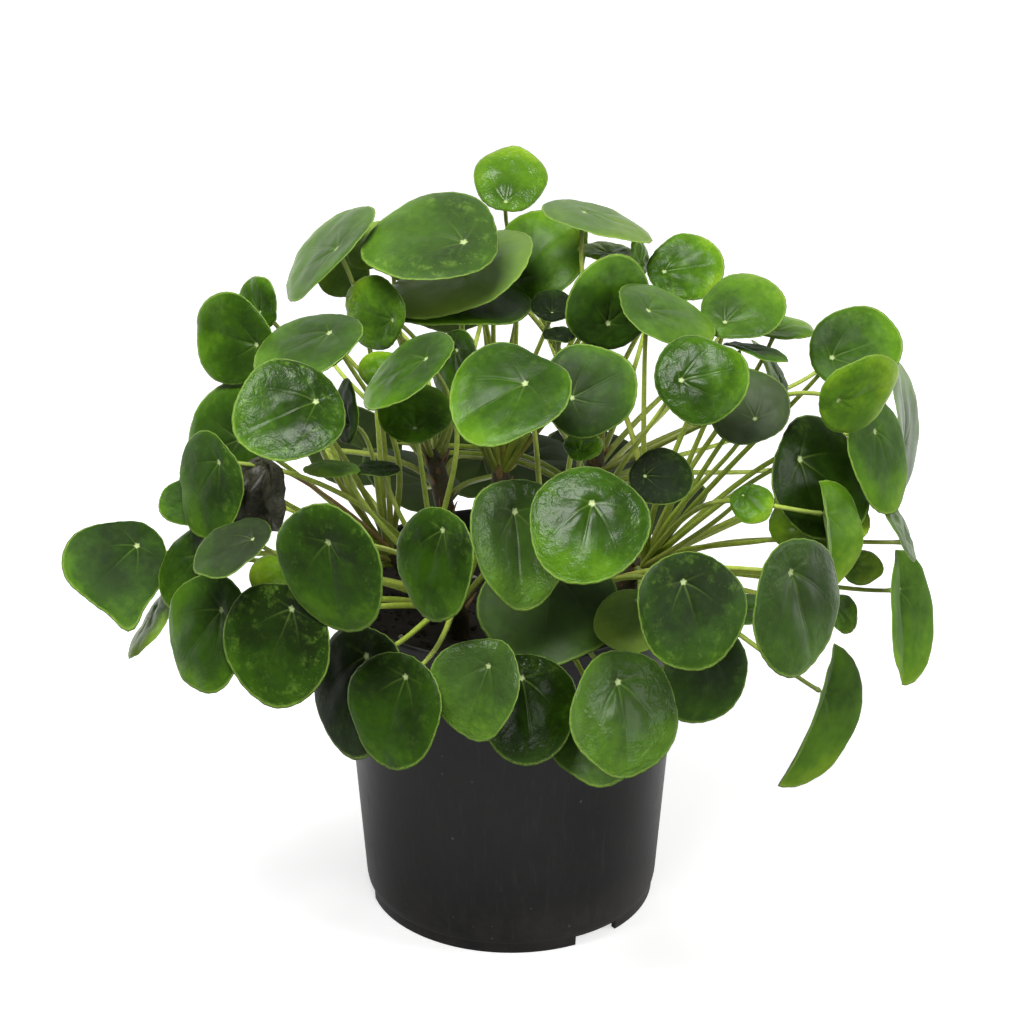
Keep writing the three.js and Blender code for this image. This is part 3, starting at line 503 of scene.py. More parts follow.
# %% Dark leaves between the petioles, and the stems
BETWEEN_SIZE = 54
BETWEEN_INSIDE = 0.9
# The low tone of the leaves between the petioles is painted shade for leaves deep inside the
# foliage.
BETWEEN_TONE_AND_SHADE = -0.5
SHOW_BETWEEN = [(352, 446), (412, 478), (470, 452), (532, 462), (598, 458), (655, 505)]
SHOW_BETWEEN += [(440, 415)]
STEMS = {
    "middle": ((-4, 18), (-8, 26, 318)),
    "left": ((-66, -8), (-84, -22, 274)),
    "right": ((76, -12), (92, -24, 266)),
    "front": ((22, -64), (28, -78, 258)),
    "front_left": ((-34, -60), (-40, -78, 260)),
    "back_left": ((-44, 66), (-56, 82, 300)),
    "back_right": ((50, 58), (62, 74, 306)),
}
print(len(SHOW_BETWEEN), "dark leaves and", len(STEMS), "stems")


# %% Seeded draws, the same on every run
def seeded(seed):
    state = seed
    while True:
        state = state * 16807 % 2147483647
        yield state / 2147483647


draws = seeded(6344)


def drawn(least, most):
    return least + (most - least) * next(draws)


# %% [markdown]
# ## From readings to leaves in space
#
# A sight line through a reading enters the dome that the foliage fills, and the leaf lies a
# little behind that. A circle that looks like an ellipse gives its own tilt away: the ratio
# of its widths is the cosine of the angle between its face and the eye. That is all it
# takes to turn a flat reading into a disc in space.

# %% Sight lines and the dome
DOME_MIDDLE = np.array([0.0, 0.0, 318.0])
DOME = np.array([292.0, 260.0, 196.0])
CUP = (0.07, 0.14)
WAVE = (0.02, 0.05)
HUB_SHARE = (0.22, 0.72)
LOOKS_UP = 0.8
EDGE_ON = 0.3
PLAIN_HUB = 10
SMALL_BLADE = 27
INNER_RING = 0.55


def unit(v):
    return v / np.linalg.norm(v)


def sight_line(x, y):
    across, down = x - MIDDLE[0], MIDDLE[1] - y
    return (across * eye_right + down * eye_up) / PIXELS_PER_RADIAN - eye_back


def dome_depths(line):
    start, along = (eye - DOME_MIDDLE) / DOME, line / DOME
    a, b, c = along @ along, start @ along, start @ start - 1
    half = math.sqrt(max(0.0, b * b - a * c))
    return (-b - half) / a, (-b + half) / a


# %% One leaf's place and frame
def blade_from(reading):
    line = sight_line(reading.x, reading.y)
    enters, leaves = dome_depths(line)
    depth = enters + reading.inside
    if reading.hidden:
        lowest = (eye[2] - HIDDEN_LOWEST) / -line[2]
        depth = min(enters + (leaves - enters) * reading.inside, lowest)
    middle = eye + line * depth
    to_eye = -unit(line)
    across = unit(-np.cross(np.cross(eye_right, to_eye), to_eye))
    upward = np.cross(to_eye, across)
    slant = math.radians(reading.slant)
    major = across * math.cos(slant) - upward * math.sin(slant)
    minor = np.cross(to_eye, major)
    shows = reading.open / reading.half
    outward = unit(np.array([middle[0], middle[1], 0.0])) + np.array([0, 0, LOOKS_UP])
    lean = -1 if minor @ outward < 0 else 1
    facing = -1 if reading.hidden else 1
    normal = to_eye * facing * shows + minor * lean * math.sqrt(1 - shows * shows)
    hub_line = sight_line(*reading.hub)
    offset = eye + hub_line * ((middle - eye) @ normal / (hub_line @ normal)) - middle
    if shows < EDGE_ON or np.linalg.norm(offset) < 1:
        offset = major * np.sign(major @ outward) * -PLAIN_HUB
    tip = -unit(offset - normal * (offset @ normal))
    radius = reading.half * depth / PIXELS_PER_RADIAN
    return SimpleNamespace(
        reading=reading,
        name=reading.name,
        line=line,
        depth=depth,
        normal=normal,
        tip=tip,
        side=np.cross(tip, normal),
        hub_share=min(max(np.linalg.norm(offset) / radius, HUB_SHARE[0]), HUB_SHARE[1]),
        fold=math.radians(reading.fold),
        cup=drawn(*CUP),
        wave=drawn(*WAVE),
        phase=2 * math.pi * next(draws),
    )


# %% All leaves
def changed(reading, **more):
    return SimpleNamespace(**{**vars(reading), **more})


def reach_along(reading, slant):
    turn = math.radians(slant - reading.slant)
    return 1 / math.hypot(math.cos(turn) / reading.half, math.sin(turn) / reading.open)


def far_blade(reading):
    slant = HIDDEN_SLANT * (2 * next(draws) - 1)
    half = HIDDEN_SIZE * reach_along(reading, slant)
    widest = HIDDEN_SIZE * reach_along(reading, slant + 90)
    size = dict(half=half, open=min(half * drawn(*HIDDEN_OPEN), widest), slant=slant)
    return blade_from(changed(reading, **size, hidden=True, fold=0))


blades = [blade_from(reading) for reading in READINGS]
by_name = {reading.name: reading for reading in READINGS}
for name, shares in HIDES_OTHERS:
    for i, share in enumerate(shares):
        hidden = changed(by_name[name], name=f"behind_{name}_{i + 1}", inside=share)
        blades.append(far_blade(hidden))
for i, (x, y) in enumerate(SHOW_BETWEEN):
    size = (BETWEEN_SIZE, BETWEEN_SIZE, 0, x, y, BETWEEN_INSIDE)
    hidden = seen(f"between_petioles_{i + 1}", x, y, *size, tone=BETWEEN_TONE_AND_SHADE)
    blades.append(far_blade(hidden))
print(len(blades), "leaves in all")


# %% [markdown]
# ## Keeping leaves apart
#
# Real leaves push each other aside as they grow. Here each blade is spread with test points,
# and two blades that would cut or touch each other slide apart along their own sight lines,
# so both still show where they were read. The pot's rim pushes them away in the same way.

# %% Blade surfaces
SPREAD = np.array(
    [(0.0, 0.0)]
    + [
        (share * math.cos(2 * math.pi * i / count), share * math.sin(2 * math.pi * i / count))
        for share, count in ((0.35, 7), (0.7, 12), (1, 22))
        for i in range(count)
    ]
)
print(len(SPREAD), "test points on a blade")


def middle_of(blade):
    return eye + blade.line * blade.depth


def radius_of(blade):
    return blade.reading.half * blade.depth / PIXELS_PER_RADIAN


def rise_of(blade, u, v):
    flat = u * u + v * v
    rise = blade.cup * (1 - flat) + blade.wave * flat * np.cos(2 * np.arctan2(v, u) + blade.phase)
    return rise + abs(u) * math.sin(blade.fold)


def offsets_of(blade, u, v):
    """From a blade's middle to points of its surface, in radii."""
    u, v = np.asarray(u), np.asarray(v)
    flat = np.multiply.outer(u * math.cos(blade.fold), blade.side)
    flat = flat + np.multiply.outer(v, blade.tip)
    return flat + np.multiply.outer(rise_of(blade, u, v), blade.normal)


def hub_of(blade):
    radius = radius_of(blade)
    plain = blade.reading.hidden or radius < SMALL_BLADE
    rings = (0, 1) if plain else (0, INNER_RING, 1)
    outer = next(i for i, ring in enumerate(rings) if ring > blade.hub_share)
    inner, ring = rings[outer - 1], rings[outer]
    share = (blade.hub_share - inner) / (ring - inner)
    ends = offsets_of(blade, [0, 0], [-inner, -ring])
    return middle_of(blade) + radius * (ends[0] + (ends[1] - ends[0]) * share)


# %% The pot's own sizes
POT_HEIGHT = 238
RIM_RADIUS = 120
WALL_FOOT_RADIUS = 103
WALL_FOOT_HEIGHT = 14
WALL_THICKNESS = 2.2
LIP_THICKNESS = 3.6
LIP_HEIGHT = 9
LIP_OUT = 1.5
FOOT_RADIUS = 100.5
FOOT_HEIGHT = 8
FOOT_THICKNESS = 4
BASE_THICKNESS = 2.6
SOIL_TOP = 224
SOIL_UNEVEN = 2.4
LIP_ROOM = (1, 2)
print("pot:", POT_HEIGHT, "mm high,", 2 * RIM_RADIUS, "mm wide at its rim")


def wall_radius(height):
    share = (height - WALL_FOOT_HEIGHT) / (POT_HEIGHT - WALL_FOOT_HEIGHT)
    return WALL_FOOT_RADIUS + (RIM_RADIUS - WALL_FOOT_RADIUS) * share


def over_pot(points):
    """Distance to the pot and the soil, less than nothing inside them."""
    out, z = np.hypot(points[..., 0], points[..., 1]), points[..., 2]
    wall = wall_radius(z) + LIP_ROOM[0]
    inner = wall - LIP_THICKNESS - LIP_ROOM[1]
    over_lip = z - POT_HEIGHT
    within = np.maximum(over_lip, np.minimum(inner - out, z - SOIL_TOP - SOIL_UNEVEN))
    beside = np.hypot(out - wall, np.maximum(0, over_lip))
    return np.where(out > wall, beside, np.where(out > inner, over_lip, within))


# %% Whether two leaves clash
BLADE_GAP = 3.2
HUB_CLEAR = 6
WITHIN, NEAR = 1.04, 1.25


def clash(first, second):
    spread = middle_of(first) + radius_of(first) * first.spread
    under = hub_of(first) - HUB_CLEAR * first.normal
    away = np.vstack([under, spread]) - middle_of(second)
    radius = radius_of(second)
    u = away @ second.side / (radius * math.cos(second.fold))
    v = away @ second.tip / radius
    share = np.hypot(u, v)
    within = share <= WITHIN
    clip = np.where(within, 1, share)
    over = away @ second.normal - rise_of(second, u / clip, v / clip) * radius
    beside = np.hypot((share - 1) * radius, over)
    if (beside[~within] < BLADE_GAP).any() or (abs(over[within]) <= BLADE_GAP).any():
        return True
    return (over[within] > 0).any() and (over[within] < 0).any()


# %% Settle the leaves
SETTLE_ROUNDS = 160
SLIDE = 1.5


def settle(blades):
    order = [blade.depth for blade in blades]
    for blade in blades:
        blade.spread = offsets_of(blade, SPREAD[:, 0], SPREAD[:, 1])
    for settled in range(SETTLE_ROUNDS):
        moved = 0
        for i, first in enumerate(blades):
            for j in range(i + 1, len(blades)):
                second = blades[j]
                apart = math.dist(middle_of(first), middle_of(second))
                if apart > radius_of(first) + radius_of(second) + BLADE_GAP:
                    continue
                if clash(first, second) or clash(second, first):
                    step = SLIDE if order[i] < order[j] else -SLIDE
                    first.depth -= step
                    second.depth += step
                    moved += 1
            if over_pot(middle_of(first) + radius_of(first) * first.spread).min() < BLADE_GAP:
                first.depth -= SLIDE if middle_of(first)[1] < 0 else -SLIDE
                moved += 1
        if moved == 0:
            return settled
    return SETTLE_ROUNDS


print("settled after", settle(blades), "rounds")

# %% [markdown]
# ## Routing the petioles
#
# Each blade hangs on one petiole. Many routes are drawn for it, from the crowns nearest to
# it, and the cheapest one stays: it should pass clear of other blades, petioles and the pot,
# hide little and be short. This is slow one point at a time, so a whole batch of routes is
# measured at once with arrays.

# %% Rules of a petiole
STEM_RADIUS = 7
STEM_FOOT = SOIL_TOP + 2
PETIOLE_RADIUS = 2.1
PETIOLE_STEPS = 4
ROOT_SHARE = dict(level=0.6, steeper=0.32, loose=0.08)
ROOT_OFF = 0.45
RISING = 0.75
LEAST_RISE = 0.1
ONWARD = 0.7
LOOSENESS = 0.7
SQUAREST = 0.72
SQUARED = 1.4
STEEPEST = (-0.4, 0.9)
FIRST_HANDLE = (0.25, 0.5)
LAST_HANDLE = (0.16, 0.4)
HUB_POKE = 0.2
PETIOLE_GAP = 1.6
POINTS_PER_STEP = 7
ROUTES_DRAWN = 30
ROUTE_ROUNDS = 3
CROWNS_TRIED = 3
CLEAR_COST = 3
HIDES_WITHIN = 0.95
TOUCH_COST = dict(own_blade=40, other_blade=80, own_petiole=4, other_petiole=60)
TOUCH_COST.update(stem=60, pot=80)
CROWDING = 0.12
LENGTH_COST = 0.03
OWN_BLADE_STRETCH = 24
OWN_STEM_STRETCH = 30
SOIL_STRETCH = 8
DRAWS_PER_ROUTE = 9
LENGTH_STEPS = 200


# %% Curves
def bezier(knots, t):
    """Points of Bezier curves: knots are (..., degree + 1, 3), t is a list of shares."""
    knots = np.asarray(knots, dtype=float)
    degree = knots.shape[-2] - 1
    t = np.asarray(t, dtype=float)[..., None]
    weights = [math.comb(degree, i) * t**i * (1 - t) ** (degree - i) for i in range(degree + 1)]
    return sum(w * knots[..., i, :][..., None, :] for i, w in enumerate(weights))


def stem_knots(stem):
    (x, y), crown = STEMS[stem]
    return [(x, y, STEM_FOOT), (x, y, (SOIL_TOP + crown[2]) / 2), crown]


STEM_POINTS = {stem: bezier(stem_knots(stem), np.linspace(0, 1, 11)) for stem in STEMS}
print("stem tops:", *(round(float(points[-1][2])) for points in STEM_POINTS.values()), "mm up")


def evenly(knots, steps):
    """Evenly spaced points along cubic curves (curve, knot, 3), and the curves' lengths."""
    t = np.linspace(0, 1, LENGTH_STEPS + 1)
    table = bezier(knots, t)
    pieces = np.linalg.norm(np.diff(table, axis=1), axis=2)
    gone = np.hstack([np.zeros((len(table), 1)), np.cumsum(pieces, axis=1)])
    shares = np.linspace(0, 1, steps + 1)
    t = np.array([np.interp(shares * each[-1], each, t) for each in gone])
    return bezier(knots, t), gone[:, -1]


def along_steps(knots, per_step):
    """Points along the straight steps that the solid petioles are made of."""
    places, lengths = evenly(knots, PETIOLE_STEPS)
    shares = np.arange(1, per_step + 1)[:, None] / per_step
    starts, ends = places[:, :-1, None], places[:, 1:, None]
    between = (starts + (ends - starts) * shares).reshape(len(places), -1, 3)
    return np.concatenate([places[:, :1], between], axis=1), lengths


# %% One drawn route
def rows(vectors):
    return vectors / np.linalg.norm(vectors, axis=1)[:, None]


def drawn_routes(blade, stem, count):
    """The four knots of each of `count` drawn routes to a blade."""
    r = np.array([[next(draws) for _ in range(DRAWS_PER_ROUTE)] for _ in range(count)])
    hub, crown = blade.hub, np.array(STEMS[stem][1], dtype=float)
    travel = hub - crown
    steep = min(max(travel[2] / np.linalg.norm(travel), STEEPEST[0]), STEEPEST[1])
    heading = unit(travel * (1, 1, 0))
    travel = unit(travel)
    shares = ROOT_SHARE["level"] + ROOT_SHARE["steeper"] * steep + ROOT_SHARE["loose"] * r[:, 0]
    root = bezier(stem_knots(stem), shares) + STEM_RADIUS * ROOT_OFF * heading
    length = np.linalg.norm(hub - root, axis=1)[:, None]
    leaving = unit(travel * (1, 1, 0) + (0, 0, max(travel[2], LEAST_RISE) + RISING))
    leaving = rows(leaving + LOOSENESS * (r[:, 1:4] - 0.5))
    arriving = rows(blade.normal + ONWARD * travel + LOOSENESS * (r[:, 4:7] - 0.5))
    lacking = np.maximum(0, SQUAREST - arriving @ blade.normal)[:, None]
    arriving = rows(arriving + SQUARED * lacking * blade.normal)
    first = FIRST_HANDLE[0] + (FIRST_HANDLE[1] - FIRST_HANDLE[0]) * r[:, 7:8]
    last = LAST_HANDLE[0] + (LAST_HANDLE[1] - LAST_HANDLE[0]) * r[:, 8:9]
    knots = [root, root + leaving * length * first, hub - arriving * length * last]
    return np.stack([*knots, hub + HUB_POKE * arriving], axis=1)


# %% What a batch of routes costs
def shortfall(over, most):
    """What lacks to the gap, as a cost: `most` where they touch, and up to twice that."""
    lacking = np.minimum(2, (PETIOLE_GAP - over) / PETIOLE_GAP)
    return np.where(over < PETIOLE_GAP, most * lacking, 0)


def all_blades(blades):
    """The blades' numbers side by side, for measuring against all of them at once."""
    keys = ("middle", "side", "tip", "normal", "radius", "cup", "wave", "phase", "fold")
    several = {key: np.array([getattr(b, key) for b in blades]) for key in keys}
    several["hidden"] = np.array([b.reading.hidden for b in blades])
    return SimpleNamespace(**several)


def blade_costs(points, left, index, many, on_stem):
    """Touches and hides of routes (route, point) against all blades."""

    def part(axis):
        return points @ axis.T - (many.middle * axis).sum(1)

    u = part(many.side) / (many.radius * np.cos(many.fold))
    v = part(many.tip) / many.radius
    over = part(many.normal)
    share = np.sqrt(u * u + v * v)
    within = share <= WITHIN
    clip = np.where(within, 1, share)
    u, v = u / clip, v / clip
    twice = (u * u - v * v) * np.cos(many.phase) - 2 * u * v * np.sin(many.phase)
    rise = many.cup * (1 - u * u - v * v) + many.wave * twice + np.abs(u) * np.sin(many.fold)
    stands = over - rise * many.radius
    sides = np.where(share < NEAR, np.sign(stands), 0)
    apart = np.where(within, np.abs(stands), np.hypot((share - 1) * many.radius, stands))
    most = np.where(on_stem, TOUCH_COST["own_blade"], TOUCH_COST["other_blade"])
    counts = np.ones_like(apart, dtype=bool)
    counts[..., index] = left >= OWN_BLADE_STRETCH
    touches = (shortfall(apart - PETIOLE_RADIUS, most) * counts).sum((1, 2))
    crosses = (sides[:, 1:] * sides[:, :-1] < 0) & counts[:, 1:] & counts[:, :-1]
    touches += (crosses * 2 * most).sum((1, 2))
    reach = -over / (many.normal @ eye_back)
    far = (points**2).sum(-1)[..., None] + (many.middle**2).sum(1)
    far = far - 2 * points @ many.middle.T + reach**2
    far += 2 * reach * (points @ eye_back)[..., None] - 2 * reach * (many.middle @ eye_back)
    hides = (reach < 0) & (far < (many.radius * HIDES_WITHIN) ** 2) & ~many.hidden & counts
    return touches, hides.sum((1, 2))


# %% Petioles near petioles
CELL = 6.5
CELLS = 110
CELLS_START = (360, 360, 60)


def cells_of(points):
    """The coarse cells that points lie in, and a map of these cells and their neighbours."""
    cells = np.clip(((points + CELLS_START) / CELL).astype(int), 1, CELLS - 2)
    taken = np.zeros((CELLS,) * 3, dtype=bool)
    flat = np.unique(cells.reshape(-1, 3), axis=0)
    for step in np.ndindex(3, 3, 3):
        taken[tuple((flat + step - 1).T)] = True
    return tuple(np.moveaxis(cells, -1, 0)), taken


def petiole_costs(points, gone, stem, others):
    """Touches against the petioles placed so far. Only points that share a cell, or are in
    neighbouring cells, can be near each other, and only those are measured."""
    touches = np.zeros(len(points))
    cells, taken = cells_of(points)
    for same, most in ((True, "own_petiole"), (False, "other_petiole")):
        theirs = [other.points for other in others if (other.stem == stem) == same]
        if not theirs:
            continue
        theirs = np.vstack(theirs)
        theirs = theirs[taken[cells_of(theirs)[0]]]
        if not len(theirs):
            continue
        near = cells_of(theirs)[1][cells]
        if same:
            near &= gone >= OWN_STEM_STRETCH
        which = np.nonzero(near)
        close = points[which]
        square = (close**2).sum(1)[:, None] + (theirs**2).sum(1) - 2 * close @ theirs.T
        over = np.sqrt(np.maximum(square, 0)) - 2 * PETIOLE_RADIUS
        np.add.at(touches, which[0], shortfall(over, TOUCH_COST[most]).sum(1))
    return touches


# %% The whole cost of a batch
def route_costs(knots, blade, stem, many, blades, others):
    points, length = along_steps(knots, POINTS_PER_STEP)
    gone = length[:, None] * np.linspace(0, 1, points.shape[1])
    on_stem = np.array([each.stem == stem for each in blades])
    index = next(i for i, each in enumerate(blades) if each is blade)
    touches, hides = blade_costs(points, length[:, None] - gone, index, many, on_stem)
    touches += petiole_costs(points, gone, stem, others)
    for other in STEMS:
        if other != stem:
            apart = np.linalg.norm(points[:, :, None] - STEM_POINTS[other], axis=-1).min(-1)
            touches += shortfall(apart - STEM_RADIUS - PETIOLE_RADIUS, TOUCH_COST["stem"]).sum(1)
    pot = shortfall(over_pot(points) - PETIOLE_RADIUS, TOUCH_COST["pot"])
    touches += (pot * (gone > SOIL_STRETCH)).sum(1)
    return touches, hides, length


# %% Route all petioles
def route_petioles(blades):
    for blade in blades:
        blade.middle, blade.radius = middle_of(blade), radius_of(blade)
        blade.hub, blade.stem = hub_of(blade), None
        reach = {stem: math.dist(blade.middle, crown) for stem, (_, crown) in STEMS.items()}
        blade.reach = reach
    many = all_blades(blades)
    routes = {}
    order = sorted(blades, key=lambda blade: min(blade.reach.values()))
    for turn in range(ROUTE_ROUNDS):
        for blade in order:
            before = routes.get(blade.name)
            if before and before.clear:
                continue
            routes.pop(blade.name, None)
            others = list(routes.values())
            best, least = None, math.inf
            for stem in sorted(STEMS, key=lambda stem: blade.reach[stem])[: CROWNS_TRIED + turn]:
                crowding = CROWDING * sum(other.stem == stem for other in others)
                knots = drawn_routes(blade, stem, ROUTES_DRAWN * (1 + 2 * turn))
                touches, hides, length = route_costs(knots, blade, stem, many, blades, others)
                costs = touches + hides + crowding + LENGTH_COST * length
                pick = int(costs.argmin())
                if costs[pick] < least:
                    least = costs[pick]
                    clear = touches[pick] < CLEAR_COST
                    best = SimpleNamespace(stem=stem, knots=knots[pick], clear=clear, blade=blade)
            best.points = along_steps(best.knots[None], 2 * POINTS_PER_STEP)[0][0]
            blade.stem = best.stem
            routes[blade.name] = best
    return list(routes.values())


petioles = route_petioles(blades)
for stem in STEMS:
    print(stem, "has", sum(route.stem == stem for route in petioles), "leaves")

# %% [markdown]
# ## Shared effects
#
# Dirt, mottling and fine grain turn up on many surfaces of a living plant. Each is one node
# group with named inputs, so a material only says where, how large and how strong.

# %% Mottling: a soft, uneven mask in two sizes
FINER = 6.0
inputs = dict(place="Vector", scale=40.0, fine_share=0.4)
mottling, tree, given, wanted = new_group("mottling", "Shader", **inputs)
coarse = tree.noise(given.place, given.scale)
fine = tree.noise(given.place, tree.times(given.scale, FINER), 4.0, 0.6)
coarse = tree.times(coarse, tree.minus(1.0, given.fine_share))
mixed = tree.total(coarse, tree.times(fine, given.fine_share))
tree.join(tree.smooth(mixed, 0.32, 0.68), wanted)
print("mottling nodes:", len(mottling.nodes))

# %% Specks: small scattered dots
inputs = dict(place="Vector", scale=300.0, size=0.25, share=0.4)
specks, tree, given, wanted = new_group("specks", "Shader", **inputs)
inputs = dict(Vector=given.place, Scale=given.scale)
cells = tree.add("ShaderNodeTexVoronoi", inputs=inputs).outputs
chance = tree.parts(cells["Color"])
kept = tree.math("LESS_THAN", chance[0], given.share)
size = tree.times(given.size, tree.total(0.5, chance[1]))
dot = tree.smooth(tree.math("DIVIDE", cells["Distance"], size), 1.0, 0.3)
tree.join(tree.times(dot, kept), wanted)
print("specks nodes:", len(specks.nodes))


# %% A finish that most parts share
def patchy(name, patch_size, colours, rough, dots=None):
    """A material of two mottled colours with small dots on it.

    `patch_size` holds the mottling's scale and fine share, `rough` the least roughness and
    what the patches add, and `dots` their scale, size, share, strength and colour."""
    material, tree, surface = new_material(name)
    place = tree.object_place()
    patches = tree.group(mottling, place, *patch_size)
    shade = tree.mix(patches, *colours)
    if dots:
        mask = tree.group(specks, place, *dots[:3])
        shade = tree.mix(tree.times(mask, dots[3]), shade, dots[4])
    tree.join(shade, surface["Base Color"])
    tree.join(tree.total(rough[0], tree.times(patches, rough[1])), surface["Roughness"])
    return material


# %% [markdown]
# ## The blade
#
# A pilea blade is a shallow cup, 0.9 mm thick here, that is held by its underside at the hub,
# a pale dot off its middle. Veins fan from the hub and lie a little sunk on top, so the skin
# swells between them. One disc is made whose points lie on rays from the hub, because then the
# veins follow the mesh. A copy goes to every leaf, and named values bend each copy.

# %% Blade sizes
BLADE_THICKNESS = 0.9 * MM
BLADE_RAYS = 88
BLADE_RINGS = 30
RING_SPREAD = 1.4
ROUND_EDGE = 24.0
UNDER_SHARE = 0.3
VEIN_SINK = 0.7 * MM
SWELL = 1.3 * MM
PILLOW = 0.9 * MM
HUB_DIP = 1.0 * MM
MARGIN_ROLL = 0.8 * MM
MIDRIB_SHARE = 0.42
VEIN_BEND = 0.3
SIDE_VEIN = 2 * math.pi * 12 / BLADE_RAYS
BACK_VEIN = 2 * math.pi * 25 / BLADE_RAYS
VEINS = ((0.0, 1.0, 1.5), (SIDE_VEIN, 0.85, 1.15), (BACK_VEIN, 0.45, 0.7))


def from_hub(tree, place, hub):
    """How far a place on the blade is from the hub, in blade radii, and the turn at which
    the bent ray through it starts, nothing towards the tip."""
    x, y, _ = tree.parts(place)
    y = tree.total(y, hub)
    out = tree.math("SQRT", tree.total(tree.times(x, x), tree.times(y, y)))
    turn = tree.math("ARCTAN2", x, y)
    bend = tree.times(out, VEIN_BEND)
    straight = tree.total(turn, tree.times(bend, tree.math("SINE", turn)))
    return out, tree.total(turn, tree.times(bend, tree.math("SINE", straight)))


def vein_mask(tree, out, start, width):
    """The midrib, a pair of side veins that bend towards the tip and a faint back pair."""
    side = tree.math("ABSOLUTE", start)
    mask = 0.0
    for angle, weight, length in VEINS:
        gap = tree.times(out, tree.math("ABSOLUTE", tree.minus(side, angle)))
        line = tree.times(tree.smooth(gap, width, 0.0), tree.smooth(out, length, 0.05), weight)
        mask = tree.math("MAXIMUM", mask, line)
    return mask


# %% Blade tree: a disc for each leaf
blade_group, tree, given, wanted = new_group(
    "blades",
    "Geometry",
    rays=BLADE_RAYS,
    rings=BLADE_RINGS,
    thickness=BLADE_THICKNESS,
    vein_sink=VEIN_SINK,
    swell=SWELL,
    pillow=PILLOW,
    hub_dip=HUB_DIP,
    margin_roll=MARGIN_ROLL,
)
# A sheet is rolled up to a disc with two sides, on which `face` runs from -1 below through
# nothing at the margin to 1 above.
across, along = tree.total(given.rays, 1), tree.total(given.rings, 1)
sheet = tree.first("GeometryNodeMeshGrid", 1.0, 1.0, across, along)
x, y, _ = tree.parts(tree.position())
turn = tree.times(x, 2 * math.pi)
along = tree.total(y, 0.5 - UNDER_SHARE)
above = tree.math("GREATER_THAN", along, 0.0)
span = tree.total(UNDER_SHARE, tree.times(above, 1 - 2 * UNDER_SHARE))
inward = tree.math("DIVIDE", tree.math("ABSOLUTE", along), span)
share = tree.minus(1.0, tree.math("POWER", inward, RING_SPREAD))
edge = tree.math("SQRT", tree.minus(1.0, tree.math("POWER", share, ROUND_EDGE)))
face = tree.times(edge, tree.minus(tree.times(above, 2.0), 1.0))
x, y = (tree.times(share, tree.math(wave, turn)) for wave in ("SINE", "COSINE"))
sheet = tree.placed(sheet, tree.combined(x, y, face))
sheet = tree.first("GeometryNodeMergeByDistance", sheet, True, 1e-5)
sheet = tree.stored(sheet, "disc", tree.position(), "FLOAT_VECTOR")
leaves = tree.copies(given.geometry, sheet)
print("disc nodes:", len(blade_group.nodes))

# %% Blade tree: from the disc to the outline
# The disc's rays are stretched from the hub to a circle and then to this leaf's own outline.
x, y, face = tree.parts(tree.named("disc", "FLOAT_VECTOR"))
hub, seed, radius = (tree.named(name) for name in ("hub_share", "seed", "radius"))
share = tree.math("MINIMUM", tree.vector("LENGTH", tree.combined(x, y, 0.0)), 1.0)
turn = tree.math("ARCTAN2", x, y)
sine, cosine = tree.math("SINE", turn), tree.math("COSINE", turn)


def to_rim(sine, cosine):
    """From the hub to the circle, in a direction."""
    chord = tree.math("SQRT", tree.minus(1.0, tree.times(hub, hub, sine, sine)))
    return tree.total(chord, tree.times(hub, cosine))


turn = tree.minus(turn, tree.times(VEIN_BEND, share, to_rim(sine, cosine), sine))
sine, cosine = tree.math("SINE", turn), tree.math("COSINE", turn)
reach = tree.times(share, to_rim(sine, cosine))
u = tree.times(reach, sine)
v = tree.minus(tree.times(reach, cosine), hub)
around = tree.math("ARCTAN2", v, u)
from_tip = tree.total(around, tree.named("point_turn"))
tip = tree.math("MAXIMUM", tree.math("SINE", from_tip), 0.0)
point = tree.named("point")
sharpness = tree.smooth(point, 0.0, 0.34, 8.0, 40.0)
bulge = tree.times(point, tree.math("POWER", tip, sharpness))
threefold = tree.math("SINE", tree.times(from_tip, -3.0))
outline = tree.total(bulge, tree.times(tree.named("corners"), threefold))
lobes = tree.total(tree.times(around, 3.0), seed)
ripples = tree.total(tree.times(around, 5.0), tree.times(seed, 2.3))
for height, wave in ((0.03, lobes), (0.016, ripples), (0.0045, tree.times(around, 27.0))):
    outline = tree.total(outline, tree.times(height, tree.math("SINE", wave)))
outline = tree.total(1.0, tree.times(outline, tree.times(share, share)))
u, v = tree.times(u, outline), tree.times(v, outline)
place = tree.combined(u, v, face)
print("nodes with the outline:", len(blade_group.nodes))

# %% Blade tree: relief and place
# The cup and the wave of the solid blade come first.
flat = tree.total(tree.times(u, u), tree.times(v, v))
twice = tree.total(tree.times(tree.math("ARCTAN2", v, u), 2.0), tree.named("phase"))
rise = tree.total(
    tree.times(tree.named("cup"), tree.minus(1.0, flat)),
    tree.times(tree.named("wave"), flat, tree.math("COSINE", twice)),
    tree.times(tree.math("ABSOLUTE", u), tree.math("SINE", tree.named("fold"))),
)
# Lumps, wrinkles, veins, the hub, the crease at the midrib and the rolled margin follow.
out, start = from_hub(tree, place, hub)
sunk = tree.times(given.vein_sink, vein_mask(tree, out, start, 0.055))
between = tree.times(given.pillow, vein_mask(tree, out, start, 0.34))
here = tree.scaled(tree.combined(u, v, 0.0), 1.5)
here = tree.vector("ADD", here, tree.combined(seed, seed, seed))
gloss = tree.named("gloss")
lumps = tree.times(tree.uneven(here, 1.1, 1.0), 3.0)
crinkles = tree.times(tree.uneven(here, 4.5, 2.0), tree.smooth(gloss, -0.4, 1.2, 0.1, 1.15))
crinkles = tree.times(crinkles, tree.smooth(share, 0.1, 0.9, 0.4, 1.0))
swell = tree.times(given.swell, tree.total(lumps, crinkles), tree.smooth(out, 0.0, 0.25))
off_midrib = tree.minus(tree.math("ABSOLUTE", u), MIDRIB_SHARE)
crease = tree.times(tree.named("crease"), radius, off_midrib)
dip = tree.times(given.hub_dip, tree.smooth(out, 0.2, 0.0))
